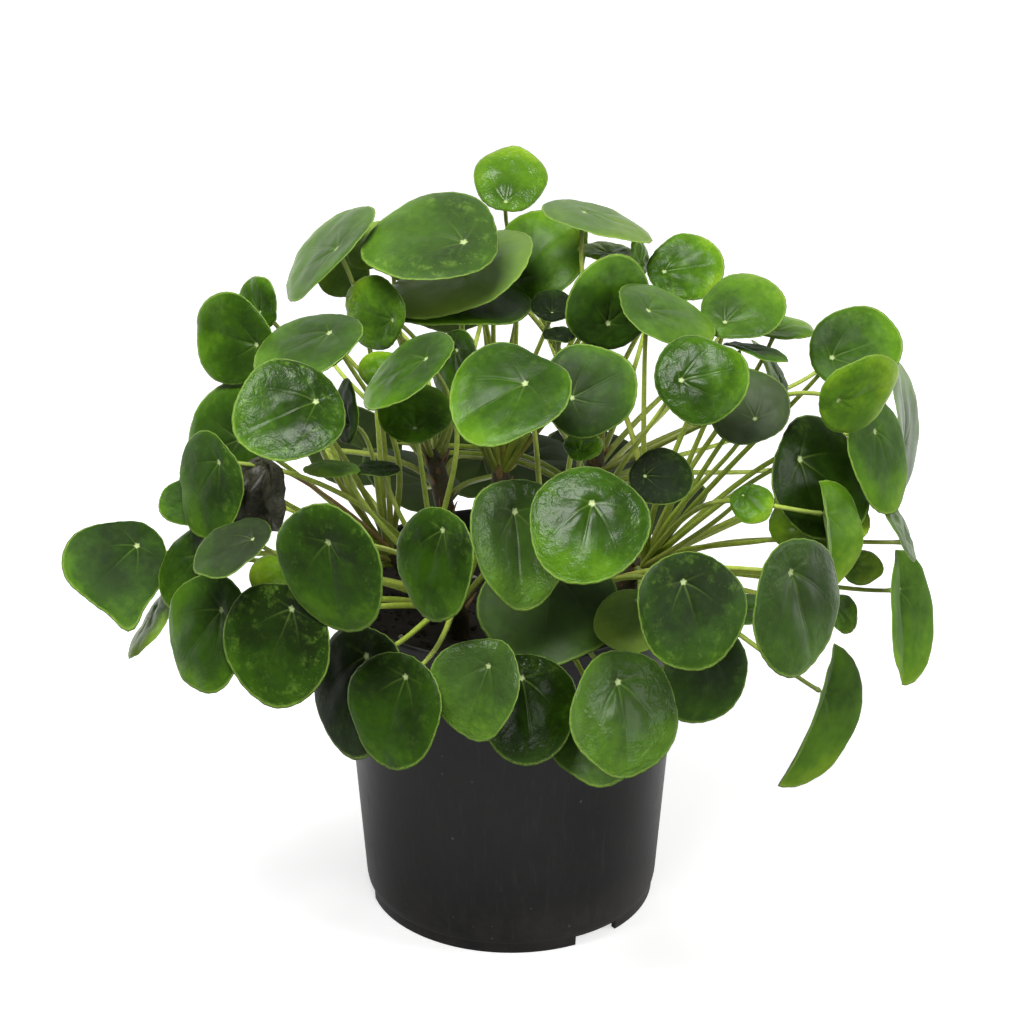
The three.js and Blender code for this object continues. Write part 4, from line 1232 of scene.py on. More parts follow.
roll = tree.times(given.margin_roll, tree.smooth(share, 0.84, 1.0))
relief = tree.minus(swell, tree.total(sunk, between, dip, roll))
relief = tree.total(relief, crease, tree.times(face, given.thickness, 0.5))
position = tree.named("middle", "FLOAT_VECTOR")
for axis, amount in (
    ("side", tree.times(u, radius, tree.math("COSINE", tree.named("fold")))),
    ("tip", tree.times(v, radius)),
    ("normal", tree.total(tree.times(rise, radius), relief)),
):
    step = tree.scaled(tree.named(axis, "FLOAT_VECTOR"), amount)
    position = tree.vector("ADD", position, step)

# %% Blade tree: looks
# The leaf's material reads what it needs from values that stay on the points.
look = tree.combined(*(tree.named(name) for name in ("tone", "dull", "spots")))
leaves = tree.stored(leaves, "leaf_place", place, "FLOAT_VECTOR")
leaves = tree.stored(leaves, "leaf_form", tree.combined(hub, seed, radius), "FLOAT_VECTOR")
leaves = tree.stored(leaves, "leaf_look", look, "FLOAT_VECTOR")
leaves = tree.stored(leaves, "leaf_gloss", gloss)
tree.hand_out(tree.placed(leaves, position), given, wanted)
print("blade tree nodes:", len(blade_group.nodes))

# %% [markdown]
# ## The leaf's skin
#
# The skin is waxy: the colour is deep and the light lies on top of it in a broken, wrinkled
# sheen. Colour comes in layers from the readings and from the place on the blade: a green of
# the leaf's tone, which holds its own green and also painted shade and painted sheen, a
# painted glow that lightens the blade towards its margin and its tip, paler veins and spots,
# dark scars, a painted grey sheen on dull leaves, a thin light margin and the pale hub. The
# underside is pale and dull, and painted darker as shade on leaves of a low tone.

# %% Leaf material: the upper side
GREENS = (
    (0.22, (30, 52, 7)),
    (0.44, (50, 84, 10)),
    (0.68, (86, 130, 20)),
)
leaf_skin, tree, surface = new_material("leaf_skin")
place = tree.attribute("leaf_place")
hub, seed, _ = tree.parts(tree.attribute("leaf_form"))
tone, dull, spots = tree.parts(tree.attribute("leaf_look"))
gloss = tree.attribute("leaf_gloss", "Fac")
x, y, face = tree.parts(place)
upper = tree.smooth(face, -0.7, -0.2)
flat_place = tree.combined(x, y, 0.0)
own = tree.combined(seed, tree.times(seed, 1.7), face)
own_place = tree.vector("ADD", flat_place, own)
share = tree.vector("LENGTH", flat_place)
out, start = from_hub(tree, place, hub)
vein = vein_mask(tree, out, start, 0.03)
near_hub = tree.smooth(out, 0.65, 0.02)
near_edge = tree.smooth(share, 0.3, 0.9, 0.2, 1.0)

patches = tree.group(mottling, own_place, 1.3, 0.3)
# The tone sets the green here, and with it painted shade and painted sheen.
level = tree.total(tree.times(tone, 0.42), tree.times(tree.minus(patches, 0.5), 0.2), 0.43)
# Painted light: the blade is made lighter towards its margin and its tip, a painted glow as of
# light through the leaf.
level = tree.total(level, tree.smooth(share, 0.5, 1.0, -0.02, 0.08))
level = tree.total(level, tree.smooth(y, -0.6, 1.0, -0.1, 0.12))
ramp = tree.add("ShaderNodeValToRGB", level)
shades = ramp.color_ramp.elements
shades[0].position, shades[0].color = 0.0, colour(18, 31, 5)
shades[1].position, shades[1].color = 1.0, colour(150, 188, 36)
for position, shade in GREENS:
    shades.new(position).color = colour(*shade)
green = ramp.outputs["Color"]
paler = tree.times(vein, tree.total(0.05, tree.times(near_hub, 0.2)))
green = tree.mix(paler, green, (132, 164, 66))
dots = tree.times(tree.group(specks, own_place, 17.0, 0.22, 0.6), 0.35)
blotches = tree.smooth(tree.noise(own_place, 5.5, 4.0, 0.6), 0.5, 0.78)
dots = tree.total(dots, tree.times(blotches, 0.55))
green = tree.mix(tree.times(dots, near_edge, spots, upper), green, (122, 164, 56))
scars = tree.group(specks, own_place, 3.2, 0.05, 0.12)
green = tree.mix(tree.times(scars, 0.8), green, (58, 44, 22))
# Painted sheen: the dull number mixes a grey-green over the green.
green = tree.mix(tree.times(dull, 0.6), green, (92, 108, 74))
print("nodes of the upper side:", len(leaf_skin.node_tree.nodes))

# %% Leaf material: underside, margin and sheen
pale = tree.mix(patches, (126, 148, 84), (100, 126, 62))
pale = tree.mix(tree.times(vein, 0.6), pale, (160, 176, 110))
# Painted shade: on leaves of a low tone the underside is darkened.
pale = tree.mix(tree.times(tree.smooth(tone, 0.3, -0.6), 0.75), pale, (52, 74, 30))
skin = tree.mix(upper, pale, green)
rim = tree.smooth(tree.math("ABSOLUTE", face), 0.84, 0.55, 0.0, 0.7)
broken = tree.smooth(tree.noise(own_place, 16.0, 2.0), 0.38, 0.6, 0.35, 1.0)
skin = tree.mix(tree.times(rim, broken), skin, (150, 184, 78))
rays = tree.times(0.007, tree.math("COSINE", tree.total(tree.times(start, 5.0), seed)))
star = tree.smooth(tree.total(out, rays), 0.068, 0.03, 0.0, 0.85)
tree.join(tree.mix(star, skin, (192, 210, 146)), surface["Base Color"])

grain = tree.noise(own_place, 26.0)
rough = tree.total(0.5, tree.times(tree.minus(grain, 0.5), 0.1), tree.times(gloss, -0.26))
rough = tree.total(rough, tree.times(dull, 0.06), tree.times(tree.minus(1.0, upper), 0.12))
tree.join(rough, surface["Roughness"])
ridges = tree.math("ABSOLUTE", tree.uneven(own_place, 6.0, 2.0, 0.6))
wrinkles = tree.total(tree.times(ridges, -1.6), tree.uneven(own_place, 9.0, 3.0, 0.6))
wrinkles = tree.times(wrinkles, tree.smooth(gloss, -0.3, 1.3, 0.04, 1.0), near_edge)
waves = tree.times(tree.uneven(own_place, 2.1, 1.0), 0.8)
height = tree.total(wrinkles, waves, tree.times(vein, -0.3), tree.times(grain, 0.05))
tree.bump(height, 0.5, 1.4 * MM, surface)
surface["Specular IOR Level"].default_value = 0.19
print("leaf skin nodes:", len(leaf_skin.node_tree.nodes))

# %% [markdown]
# ## Leaves on their stems
#
# The leaves of one stem make one piece, in the place of that stem's solid. The blade tree gets
# one loose point per leaf with that leaf's values.

# %% Blades of each stem
CREASE = (-0.05, 0.13)
OWN_STEP = 0.618
SEED_STEP, SEEDS = 7.3, 40
blade_numbers = {blade.name: i for i, blade in enumerate(blades)}


def own_share(blade, least, most):
    """A value that differs from leaf to leaf and is the same on every run."""
    return least + (most - least) * (OWN_STEP * blade_numbers[blade.name] % 1)


def crease_of(blade):
    return blade.reading.crease + own_share(blade, *CREASE)


def turn_to(blade, pixel):
    """The turn around a blade, from its tip, at which a place in the view lies."""
    if not pixel:
        return 0.0
    line = sight_line(*pixel)
    depth = (blade.middle - eye) @ blade.normal / (line @ blade.normal)
    away = eye + line * depth - blade.middle
    return math.atan2(away @ blade.side, away @ blade.tip)


def blade_points(name, own):
    keys = ("side", "tip", "normal", "cup", "wave", "phase", "fold", "hub_share")
    values = {key: [getattr(b, key) for b in own] for key in keys}
    for key in ("point", "corners", "tone", "dull", "gloss", "spots"):
        values[key] = [getattr(b.reading, key) for b in own]
    values["middle"] = [b.middle * MM for b in own]
    values["radius"] = [b.radius * MM for b in own]
    values["seed"] = [SEED_STEP * blade_numbers[b.name] % SEEDS for b in own]
    values["point_turn"] = [turn_to(b, b.reading.point_at) for b in own]
    values["crease"] = [crease_of(b) for b in own]
    return mesh_of(f"points_{name}", values["middle"], attributes=values)


def add_to_stem(stem, group, mesh, name, **values):
    add_piece(group, mesh, name, f"leafy_stem_{stem}", "foliage", **values)


for stem in STEMS:
    own = [route.blade for route in petioles if route.stem == stem]
    points = blade_points(stem, own)
    add_to_stem(stem, blade_group, points, f"leaves_{stem}", material=leaf_skin)

# %% [markdown]
# ## Petioles and stems
#
# A petiole is a round, smooth stalk that thins towards its blade. It's made the way it grew:
# a path from the crown to the hub is given a thickness at each point and is swept with
# a circle. Stems are short, thick and scarred where old leaves fell, and get the same tree
# with a rougher profile.

# %% Stalk tree
inputs = dict(sides=9, roughness=0.0, lump_size=8 * MM)
stalk_group, tree, given, wanted = new_group("stalks", "Geometry", **inputs)
paths = tree.first("GeometryNodeMeshToCurve", given.geometry)
ring = tree.first("GeometryNodeCurvePrimitiveCircle", given.sides)
inputs = {"Curve": paths, "Profile Curve": ring, "Scale": tree.named("thick"), "Fill Caps": True}
stalks = tree.first("GeometryNodeCurveToMesh", inputs=inputs)
place = tree.scaled(tree.position(), tree.math("DIVIDE", 1.0, given.lump_size))
stalks = tree.pushed(stalks, tree.times(tree.uneven(place, 1.0), given.roughness))
tree.hand_out(stalks, given, wanted)
print("stalk tree nodes:", len(stalk_group.nodes))

# %% Petiole skin
petiole_skin, tree, surface = new_material("petiole_skin")
place = tree.object_place()
along, warm = (tree.attribute(name, "Fac") for name in ("along", "warm"))
patches = tree.group(mottling, place, 60.0, 0.5)
green = tree.mix(patches, (162, 188, 56), (198, 218, 92))
green = tree.mix(tree.smooth(along, 0.75, 1.0), green, (150, 168, 84))
# Painted shade: the petiole is darker towards the crown, where the foliage shades it.
green = tree.mix(tree.smooth(along, 0.45, 0.0, 0.0, 0.55), green, (78, 88, 30))
tan = tree.mix(patches, (150, 126, 74), (176, 138, 86))
stalk = tree.mix(tree.times(warm, tree.smooth(along, 1.2, 0.0)), green, tan)
dots = tree.group(specks, place, 900.0, 0.22, 0.3)
stalk = tree.mix(tree.times(dots, 0.35), stalk, (96, 78, 44))
tree.join(stalk, surface["Base Color"])
tree.join(tree.total(0.38, tree.times(patches, 0.12)), surface["Roughness"])
print("petiole skin nodes:", len(petiole_skin.node_tree.nodes))

# %% Stem bark
# Painted shade: the bark colours are darkened because the stems stand in shade under the leaves.
colours = ((46, 42, 24), (78, 70, 40))
dots = (420.0, 0.3, 0.4, 0.6, (58, 44, 30))
stem_bark = patchy("stem_bark", (70.0, 0.6), colours, (0.6, 0.2), dots)
print("stem bark nodes:", len(stem_bark.node_tree.nodes))

# %% Where a petiole ends, and the edges of a path
def hub_seat(blade):
    """Where the middle of the blade's skin lies at its hub, with all dips taken off."""
    dips = (VEIN_SINK + PILLOW + HUB_DIP) / MM
    dips += MIDRIB_SHARE * crease_of(blade) * blade.radius
    seat = blade.middle + blade.radius * offsets_of(blade, 0, -blade.hub_share)
    return seat - dips * blade.normal


def chained(paths):
    """Edges that join the points of each path in order."""
    edges, start = [], 0
    for path in paths:
        edges += [(start + i, start + i + 1) for i in range(len(path) - 1)]
        start += len(path)
    return edges


# %% Paths of a stem's petioles
PETIOLE_POINTS = 26
PETIOLE_BASE = 2.3
PETIOLE_END = 1.45
PETIOLE_NOSE = 2.2
THINS_BY = 1.15
NECK, NECK_MORE = 0.95, 0.4
END, END_THICK = 0.999, 0.2
WARMEST = 0.5
WARM_STEP = 0.37
BOWED = {"right_folded": 85, "top_left_broad": -70}


def petiole_mesh(stem, own):
    """The paths of a stem's petioles, with their thickness and colour along them."""
    knots = np.array([route.knots for route in own])
    seats = np.array([hub_seat(route.blade) for route in own])
    knots[:, 2:] += (seats - knots[:, 3])[:, None]
    bows = [BOWED.get(route.blade.name, 0) * route.blade.line for route in own]
    knots[:, 1:3] -= np.array(bows)[:, None]
    paths = evenly(knots, PETIOLE_POINTS - 2)[0]
    noses = seats - PETIOLE_NOSE * rows(seats - paths[:, -2])
    paths = np.concatenate([paths[:, :-1], noses[:, None], seats[:, None]], axis=1)
    along = np.tile(np.linspace(0, 1, PETIOLE_POINTS), len(own))
    warm = [WARM_STEP * blade_numbers[route.blade.name] % 1 for route in own]
    warm = WARMEST * np.repeat(warm, PETIOLE_POINTS) ** 3
    thick = PETIOLE_BASE + (PETIOLE_END - PETIOLE_BASE) * np.minimum(1, along * THINS_BY)
    thick = thick + NECK_MORE * (along > NECK) - (thick - END_THICK) * (along > END)
    values = dict(thick=thick * MM, along=along, warm=warm)
    return mesh_of(f"paths_{stem}", paths.reshape(-1, 3) * MM, chained(paths), values)


# %% Petioles and stems
STEM_PATH_POINTS = 16
STEM_DEPTH = 36
STEM_SHARE = 0.97
STEM_TOP = (0.94, 0.8, 0.5)
STEM_SIDES = 20
STEM_ROUGHNESS = 1.6 * MM
for stem in STEMS:
    mesh = petiole_mesh(stem, [route for route in petioles if route.stem == stem])
    add_to_stem(stem, stalk_group, mesh, f"petioles_{stem}", material=petiole_skin)
    knots = stem_knots(stem)
    path = bezier(knots, np.linspace(0, 1, STEM_PATH_POINTS))
    path = np.vstack([(*knots[0][:2], SOIL_TOP - STEM_DEPTH), path])
    thick = np.full(len(path), STEM_RADIUS * STEM_SHARE)
    thick[-3:] *= STEM_TOP
    mesh = mesh_of(f"path_{stem}", path * MM, chained([path]), dict(thick=thick * MM))
    values = dict(material=stem_bark, sides=STEM_SIDES, roughness=STEM_ROUGHNESS)
    add_to_stem(stem, stalk_group, mesh, f"stem_{stem}", **values)

# %% [markdown]
# ## A dead leaf and the scales
#
# An old leaf low on the left has dried up on its stalk. A dead blade is a live one that has
# lost its water, so it is the same tree with a smaller size, a sharp fold and swellings many
# times as high. Where leaves came out, the stems also keep papery brown scales, which are
# small pointed flakes set in a spiral.

# %% Place of the dried leaf
DEAD_STEM = "left"
DEAD_CUP = 0.3
CRUMPLE_ROOM = 16
place = (268, 496, 40, 31, 70, 266, 468, 30)
dead = blade_from(seen("dried_leaf", *place, fold=24, crease=0.2, gloss=0.2))
dead.cup = DEAD_CUP
dead.spread = offsets_of(dead, SPREAD[:, 0], SPREAD[:, 1])
while any(clash(dead, blade) or clash(blade, dead) for blade in blades):
    dead.depth += SLIDE
dead.depth += CRUMPLE_ROOM
dead.middle, dead.radius, dead.hub = middle_of(dead), radius_of(dead), hub_of(dead)
blade_numbers[dead.name] = len(blades)
print("the dead leaf hangs", round(float(dead.middle[2])), "mm up")

# %% Blade of the dried leaf
colours = ((38, 38, 28), (92, 92, 70))
dots = (380.0, 0.3, 0.4, 0.5, (126, 110, 80))
dry_skin = patchy("dry_skin", (70.0, 0.5), colours, (0.42, 0.2), dots)
values = dict(material=dry_skin, swell=9 * MM, pillow=2 * MM, margin_roll=3 * MM)
points = blade_points(dead.name, [dead])
add_to_stem(DEAD_STEM, blade_group, points, dead.name, **values)

# %% Stalk of the dried leaf
DEAD_ROOT = 0.7
DEAD_SAG = 14
DEAD_STALK, DEAD_STALK_END = 1.3, 0.3
root = bezier(stem_knots(DEAD_STEM), [DEAD_ROOT])[0]
seat = hub_seat(dead) - dead.normal
bend = root + (seat - root) * 0.3 + (0, 0, DEAD_SAG)
ways = (root, bend, seat - DEAD_SAG * dead.normal, seat)
path = bezier(np.array(ways), np.linspace(0, 1, PETIOLE_POINTS))
thick = np.append(np.full(len(path) - 1, DEAD_STALK), DEAD_STALK_END)
values = dict(thick=thick * MM, along=np.zeros(len(path)), warm=np.ones(len(path)))
mesh = mesh_of("path_dried", path * MM, chained([path]), values)
add_to_stem(DEAD_STEM, stalk_group, mesh, "dried_petiole", material=petiole_skin)

# %% Scale tree
inputs = dict(height=5 * MM, width=2.2 * MM, thickness=0.5 * MM)
scale_group, tree, given, wanted = new_group("scales", "Geometry", **inputs)
flake = tree.first("GeometryNodeMeshUVSphere", 10, 8, 1.0)
x, y, z = tree.parts(tree.position())
up = tree.total(z, 1.0)
narrower = tree.minus(1.0, tree.times(up, 0.3))
bent = tree.total(tree.times(x, given.thickness), tree.times(up, up, given.height, 0.12))
wide = tree.times(y, narrower, given.width)
flake = tree.placed(flake, tree.combined(bent, wide, tree.times(up, given.height)))
turned, size = tree.named("turned", "FLOAT_VECTOR"), tree.named("size")
flakes = tree.copies(given.geometry, flake, turned, size)
tree.hand_out(flakes, given, wanted)
papery = patchy("papery", (160.0, 0.5), ((104, 78, 48), (158, 128, 84)), (0.6, 0.2))
print("scale tree nodes:", len(scale_group.nodes))

# %% Scales of each stem
SCALES_PER_STEM = 18
SCALE_PLACES = (0.3, 0.68)
SCALE_OUT = 0.8
GOLDEN_TURN = 2.4
order = np.arange(SCALES_PER_STEM)
for number, stem in enumerate(STEMS):
    turns = GOLDEN_TURN * order + number
    outward = np.stack([np.cos(turns), np.sin(turns), 0 * turns], axis=1)
    shares = SCALE_PLACES[0] + SCALE_PLACES[1] * order / SCALES_PER_STEM
    places = bezier(stem_knots(stem), shares)
    places = (places + STEM_RADIUS * SCALE_OUT * outward) * MM
    values = dict(size=1.1 + 0.4 * np.sin(5.1 * order))
    values["turned"] = np.stack([0 * turns, 0.25 + 0.2 * np.sin(3.7 * order), turns], axis=1)
    mesh = mesh_of(f"scale_points_{stem}", places, attributes=values)
    add_to_stem(stem, scale_group, mesh, f"scales_{stem}", material=papery)

# %% [markdown]
# ## The pot
#
# A nursery pot is one thin moulding: a rolled lip, a tapered wall and a foot ring with
# notches and holes that let water out. It was turned on an axis in its mould, so it is turned
# here too: a profile with rounded corners goes once around. The notches and holes are then cut
# by a node tree, which sets out the cutters evenly on circles.

# %% Pot profile
BASE_TOP = FOOT_HEIGHT - 1 + BASE_THICKNESS
lip_foot = POT_HEIGHT - LIP_HEIGHT
foot_inside = FOOT_RADIUS - FOOT_THICKNESS


def inner_radius(height):
    return wall_radius(height) - WALL_THICKNESS


pot_profile = [
    (foot_inside, FOOT_HEIGHT - 1),
    (foot_inside - 0.4, 0),
    (FOOT_RADIUS, 0),
    (FOOT_RADIUS + 0.4, FOOT_HEIGHT),
    (WALL_FOOT_RADIUS - 0.9, FOOT_HEIGHT + 1.6),
    (WALL_FOOT_RADIUS, WALL_FOOT_HEIGHT),
    (wall_radius(lip_foot), lip_foot),
    (wall_radius(lip_foot) + LIP_OUT, lip_foot + 1),
    (RIM_RADIUS + LIP_OUT, POT_HEIGHT - 1),
    (RIM_RADIUS + LIP_OUT - 1, POT_HEIGHT),
    (inner_radius(POT_HEIGHT), POT_HEIGHT),
    (inner_radius(BASE_TOP + 3), BASE_TOP + 3),
    (inner_radius(BASE_TOP + 3) - 3, BASE_TOP),
]

print("pot profile corners:", len(pot_profile))

# %% Rounding, filling in and turning a profile
CORNER_SHARE = 0.45


def rounded(profile, radius, steps):
    """Cuts each inner corner of a path into a small curve."""
    profile = np.array(profile, dtype=float)
    path = [profile[0]]
    for before, here, after in zip(profile[:-2], profile[1:-1], profile[2:]):
        first, last = before - here, after - here
        shorter = min(np.linalg.norm(first), np.linalg.norm(last))
        size = min(radius, shorter * CORNER_SHARE)
        ends = here + unit(first) * size, here + unit(last) * size
        for t in np.linspace(0, 1, steps + 1):
            path.append((1 - t) ** 2 * ends[0] + 2 * t * (1 - t) * here + t * t * ends[1])
    return path + [profile[-1]]


def filled_in(path, longest):
    """Adds points to a path so that no step is longer than `longest`."""
    result = [path[0]]
    for start, end in zip(path[:-1], path[1:]):
        count = max(1, math.ceil(np.linalg.norm(end - start) / longest))
        result += [start + (end - start) * (i + 1) / count for i in range(count)]
    return result


def lathe(name, path, sides):
    """Turns a path of (radius, height) that starts and ends on the axis once around."""
    turns = [2 * math.pi * i / sides for i in range(sides)]
    points = [(0, 0, path[0][1]), (0, 0, path[-1][1])]
    points += [(r * math.cos(t), r * math.sin(t), z) for r, z in path[1:-1] for t in turns]
    last = 2 + (len(path) - 3) * sides
    faces = []
    for i in range(sides):
        j = (i + 1) % sides
        faces.append((0, 2 + j, 2 + i))
        for low in range(2, last, sides):
            high = low + sides
            faces.append((low + i, low + j, high + j, high + i))
        faces.append((last + i, last + j, 1))
    mesh = bpy.data.meshes.new(name)
    mesh.from_pydata([(x * MM, y * MM, z * MM) for x, y, z in points], [], faces)
    return mesh


# %% Pot turning
POT_TURNS = 144
CORNER = 0.8
CORNER_STEPS = 3
LONGEST_STEP = 9
path = filled_in(rounded(pot_profile, CORNER, CORNER_STEPS), LONGEST_STEP)
path = [np.array((0, FOOT_HEIGHT - 1.0)), *path, np.array((0, BASE_TOP))]
pot_mesh = lathe("pot_turning", path, POT_TURNS)
print("pot profile points:", len(path))

# %% Pot tree: cut the notches and the drain holes
NOTCH_COUNT = 3
NOTCH_WIDTH = 35
NOTCH_HEIGHT = 7
NOTCH_FIRST_ANGLE = 36.5
POT_SHARP = 32
DRAIN_COUNT = 9
DRAIN_RADIUS = 5.5
DRAIN_CIRCLE = 82
DRAIN_SIDES = 24
pot_group, tree, given, wanted = new_group(
    "pot",
    "Geometry",
    notches=NOTCH_COUNT,
    notch_width=NOTCH_WIDTH * MM,
    notch_height=NOTCH_HEIGHT * MM,
    holes=DRAIN_COUNT,
    hole_radius=DRAIN_RADIUS * MM,
)
first_turn = math.radians(NOTCH_FIRST_ANGLE - 90)


def set_round(tree, cutter, count, circle):
    """Copies of a cutter on a circle, each turned outwards."""
    inputs = dict(Vertices=count, Radius=circle * MM)
    ring = tree.first("GeometryNodeMeshCircle", inputs=inputs)
    ring = tree.first("GeometryNodeTransform", ring, inputs=dict(Rotation=(0, 0, first_turn)))
    x, y, _ = tree.parts(tree.position())
    turned = tree.combined(0.0, 0.0, tree.math("ARCTAN2", y, x))
    return tree.copies(ring, cutter, turned)


size = (4 * FOOT_THICKNESS * MM, given.notch_width, tree.times(given.notch_height, 2.0))
block = tree.first("GeometryNodeMeshCube", tree.combined(*size))
inputs = dict(Vertices=DRAIN_SIDES, Radius=given.hole_radius, Depth=4 * FOOT_HEIGHT * MM)
drill = tree.first("GeometryNodeMeshCylinder", inputs=inputs)
pot = given.geometry
for cutter, count, circle in (
    (block, given.notches, FOOT_RADIUS - FOOT_THICKNESS / 2),
    (drill, given.holes, DRAIN_CIRCLE),
):
    inputs = {"Mesh 1": pot, "Mesh 2": set_round(tree, cutter, count, circle)}
    kind = dict(operation="DIFFERENCE", solver="EXACT")
    pot = tree.first("GeometryNodeMeshBoolean", inputs=inputs, **kind)
tree.hand_out(pot, given, wanted, smooth=False)
print("pot tree nodes:", len(pot_group.nodes))

# %% [markdown]
# ## Black plastic
#
# Moulded black plastic is never quite black: it's a dark warm grey with a satin skin. Its
# age shows in faint upright scuffs, dust that lies thickest near the foot, and a few pale
# specks of dried soil.

# %% Pot material
black_plastic, tree, surface = new_material("black_plastic")
place = tree.object_place()
patches = tree.group(mottling, place, 14.0, 0.35)
base = tree.mix(patches, (27, 26, 26), (36, 35, 35))
tall = tree.vector("MULTIPLY", place, (1.0, 1.0, 0.12))
streaks = tree.smooth(tree.noise(tall, 260.0, 4.0, 0.65), 0.52, 0.72)
base = tree.mix(tree.times(streaks, 0.12), base, (92, 90, 88))
dust = tree.times(tree.smooth(tree.parts(place)[2], 0.05, 0.008), patches)
base = tree.mix(tree.times(dust, 0.22), base, (104, 96, 86))
dots = tree.group(specks, place, 150.0, 0.16, 0.1)
base = tree.mix(tree.times(dots, 0.5), base, (120, 110, 98))
tree.join(base, surface["Base Color"])
fine = tree.noise(place, 900.0, 2.0)
rough = tree.total(0.3, tree.times(patches, 0.08), tree.times(streaks, 0.08))
tree.join(tree.total(rough, tree.times(fine, 0.05)), surface["Roughness"])
tree.bump(tree.total(fine, tree.times(streaks, 0.4)), 0.25, 0.3 * MM, surface)

pot = add_piece(pot_group, pot_mesh, "nursery_pot", "pot", "pot", material=black_plastic)
pot.data.set_sharp_from_angle(angle=math.radians(POT_SHARP))

# %% [markdown]
# ## Potting mix
#
# Peat mix is a dark, crumbly bed. Its body is turned like the pot that it fills, and its top
# is pushed up and down by layered noise. Loose crumbs and a few grains of perlite are then
# strewn over the top, because a bed without loose pieces looks cast.

# %% Soil turning
GAP = 0.35
SOIL_TURNS = 160
SOIL_STEP = 2.6
SOIL_SIDE_STEP = 40
floor = BASE_TOP + 3 + GAP
soil_profile = [
    (0, BASE_TOP + GAP),
    (inner_radius(floor) - 3 - GAP, BASE_TOP + GAP),
    (inner_radius(floor) - GAP, floor),
    (inner_radius(SOIL_TOP) - GAP, SOIL_TOP),
]
side = filled_in(np.array(soil_profile, dtype=float), SOIL_SIDE_STEP)
edge = side[-1][0]
rings = [np.array((r, SOIL_TOP)) for r in np.arange(edge - SOIL_STEP, SOIL_STEP, -SOIL_STEP)]
soil_mesh = lathe("soil_turning", [*side, *rings, np.array((0, SOIL_TOP))], SOIL_TURNS)
print("rings on top of the soil:", len(rings))

# %% Soil tree
SOIL_WAVES = (19, 23)
SOIL_SHARP = 40
inputs = dict(top=SOIL_TOP * MM, uneven=SOIL_UNEVEN * MM, crumbly=2.2 * MM)
soil_group, tree, given, wanted = new_group("soil", "Geometry", **inputs)
place = tree.position()
x, y, z = tree.parts(place)
on_top = tree.math("GREATER_THAN", z, tree.minus(given.top, 0.5 * MM))
out = tree.vector("LENGTH", tree.combined(x, y, 0.0))
inside = tree.smooth(out, edge * MM, edge * 0.93 * MM)
waves = tree.times(
    tree.math("SINE", tree.total(tree.times(x, 1000 / SOIL_WAVES[0]), 1.0)),
    tree.math("COSINE", tree.times(y, 1000 / SOIL_WAVES[1])),
)
crumbs = tree.minus(tree.noise(place, 95.0, 6.0, 0.62), 0.52)
lift = tree.total(tree.times(waves, given.uneven), tree.times(crumbs, given.crumbly, 3.0))
lift = tree.combined(0.0, 0.0, tree.times(lift, on_top, inside))
soil = tree.placed(given.geometry, tree.vector("ADD", place, lift))
tree.hand_out(soil, given, wanted, smooth=False)

dots = (320.0, 0.32, 0.22, 0.45, (92, 74, 54))
peat = patchy("peat", (45.0, 0.6), ((22, 17, 14), (48, 38, 30)), (0.82, 0.14), dots)
soil = add_piece(soil_group, soil_mesh, "potting_mix", "potting_soil", "soil", material=peat)
soil.data.set_sharp_from_angle(angle=math.radians(SOIL_SHARP))

# %% Strewn tree
GRAIN_NOISE = 0.35
FULL_TURN = 6.28
strewn_group, tree, given, wanted = new_group(
    "strewn",
    "Geometry",
    per_square_metre=12000.0,
    smallest=0.8 * MM,
    largest=2.4 * MM,
    seed=1,
)
x, y, z = tree.parts(tree.position())
out = tree.vector("LENGTH", tree.combined(x, y, 0.0))
on_top = tree.math("GREATER_THAN", z, (SOIL_TOP - 8) * MM)
on_top = tree.times(on_top, tree.math("LESS_THAN", out, edge * 0.95 * MM))
inputs = dict(Mesh=given.geometry, Selection=on_top, Density=given.per_square_metre)
inputs["Seed"] = given.seed
spread = tree.first("GeometryNodeDistributePointsOnFaces", inputs=inputs)
grain = tree.first("GeometryNodeMeshIcoSphere", 1.0, 2)
smallest, largest = (tree.combined(*[size] * 3) for size in (given.smallest, given.largest))
turned, size = (
    tree.first("FunctionNodeRandomValue", *values, data_type="FLOAT_VECTOR")
    for values in (
        ((0, 0, 0), (FULL_TURN,) * 3, None, given.seed),
        (smallest, largest, None, 7),
    )
)
grains = tree.copies(spread, grain, turned, size)
dent = tree.times(tree.uneven(tree.position(), 700.0, 2.0), given.largest, GRAIN_NOISE)
tree.hand_out(tree.pushed(grains, dent), given, wanted, smooth=False)
print("strewn tree nodes:", len(strewn_group.nodes))

# %% Crumbs and perlite
colours = ((150, 146, 136), (205, 201, 192))
perlite = patchy("perlite", (300.0, 0.5), colours, (0.7, 0.2))
few = dict(per_square_metre=900.0, smallest=1.1 * MM, largest=2.1 * MM, seed=5)
for name, values in (
    ("soil_crumbs", dict(material=peat)),
    ("perlite_grains", dict(material=perlite, **few)),
):
    add_piece(strewn_group, soil.data.copy(), name, "potting_soil", "soil", **values)

# %% [markdown]
# ## Studio
#
# The plant stands on a pale floor in soft light, as in a shop picture. One wide lamp overhead
# and a little to the front makes the sheen on the leaves, one at the right lights the leaves
# that hang over the pot, and a dim one in front opens their shadows. The pale backdrop does
# the rest: mirrored at a low angle, it greys the flat leaves and draws the light edges of the
# black pot.

# %% Floor
FLOOR_REACH = 12.0
FLOOR_LIFT = 0.62
FLOOR_SHINE = (0.12, 2.4)
scene = bpy.context.scene
scene.view_settings.view_transform = "Standard"

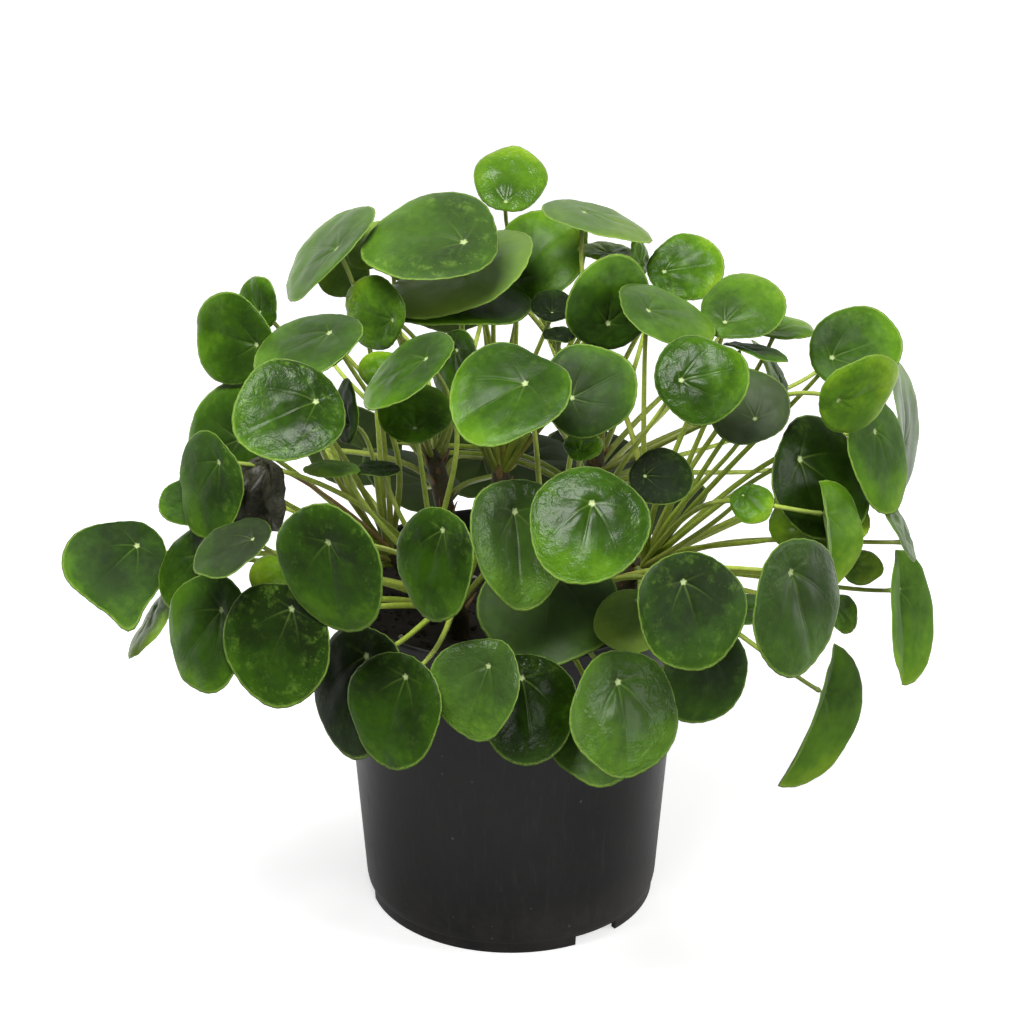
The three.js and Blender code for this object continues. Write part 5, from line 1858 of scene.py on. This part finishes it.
floor_mesh = bpy.data.meshes.new("studio_floor")
corners = [(x * FLOOR_REACH, y * FLOOR_REACH, 0) for x, y in ((-1, -1), (1, -1), (1, 1), (-1, 1))]
floor_mesh.from_pydata(corners, [], [(0, 1, 2, 3)])
studio_floor = bpy.data.objects.new("studio_floor", floor_mesh)
scene.collection.objects.link(studio_floor)
paper, tree, surface = new_material("paper")
place = tree.object_place()
tint = tree.mix(tree.noise(place, 3.0), (248, 248, 248), (253, 253, 253))
seen_by = tree.add("ShaderNodeLightPath").outputs
shade = tree.mix(seen_by["Is Camera Ray"], (140, 140, 140), tint)
tree.join(shade, surface["Base Color"])
tree.join(tint, surface["Emission Color"])
behind = tree.smooth(tree.parts(place)[1], -0.15, 0.9, *FLOOR_SHINE)
lift = tree.times(seen_by["Is Camera Ray"], FLOOR_LIFT)
lift = tree.total(lift, tree.times(seen_by["Is Glossy Ray"], behind))
tree.join(lift, surface["Emission Strength"])
surface["Roughness"].default_value = 0.9
floor_mesh.materials.append(paper)
print("floor reaches", FLOOR_REACH, "m each way")

# %% World
SKY = 0.33
SKY_SEEN = 0.7
SKY_SHINE = (0.12, 1.1)
world = bpy.data.worlds.new("studio")
scene.world = world
world.use_nodes = True
tree = Tree(world.node_tree)
seen_by = tree.add("ShaderNodeLightPath").outputs
shine = world.node_tree.nodes["Background"].inputs
shine["Color"].default_value = (1.0, 1.0, 1.0, 1.0)
_, y, _ = tree.parts(tree.add("ShaderNodeTexCoord").outputs["Generated"])
backdrop = tree.smooth(y, 0.3, 0.9, *(level - SKY for level in SKY_SHINE))
strength = tree.times(seen_by["Is Camera Ray"], SKY_SEEN)
strength = tree.total(strength, tree.times(seen_by["Is Glossy Ray"], backdrop), SKY)
tree.join(strength, shine["Strength"])
print("sky strength:", SKY)

# %% Lamps
LAMPS_AIM = (0, 0, 0.35)
LAMPS = {
    "overhead": ((-0.35, -0.8, 1.8), (0.75, 0.6), 32),
    "right": ((1.55, -0.35, 0.85), (0.45, 0.6), 7),
    "front": ((1.35, -2.0, 0.9), (1.1, 0.9), 11),
}
for name, (place, size, power) in LAMPS.items():
    data = bpy.data.lights.new(name, "AREA")
    data.shape = "RECTANGLE"
    data.size, data.size_y = size
    data.energy = power
    item = bpy.data.objects.new(name, data)
    item.location = place
    x, y, z = (b - a for a, b in zip(place, LAMPS_AIM))
    item.rotation_euler = (math.atan2(math.hypot(x, y), -z), 0, math.atan2(y, x) - math.pi / 2)
    scene.collection.objects.link(item)
print("lamps:", len(LAMPS))

# %% [markdown]
# ## Finish
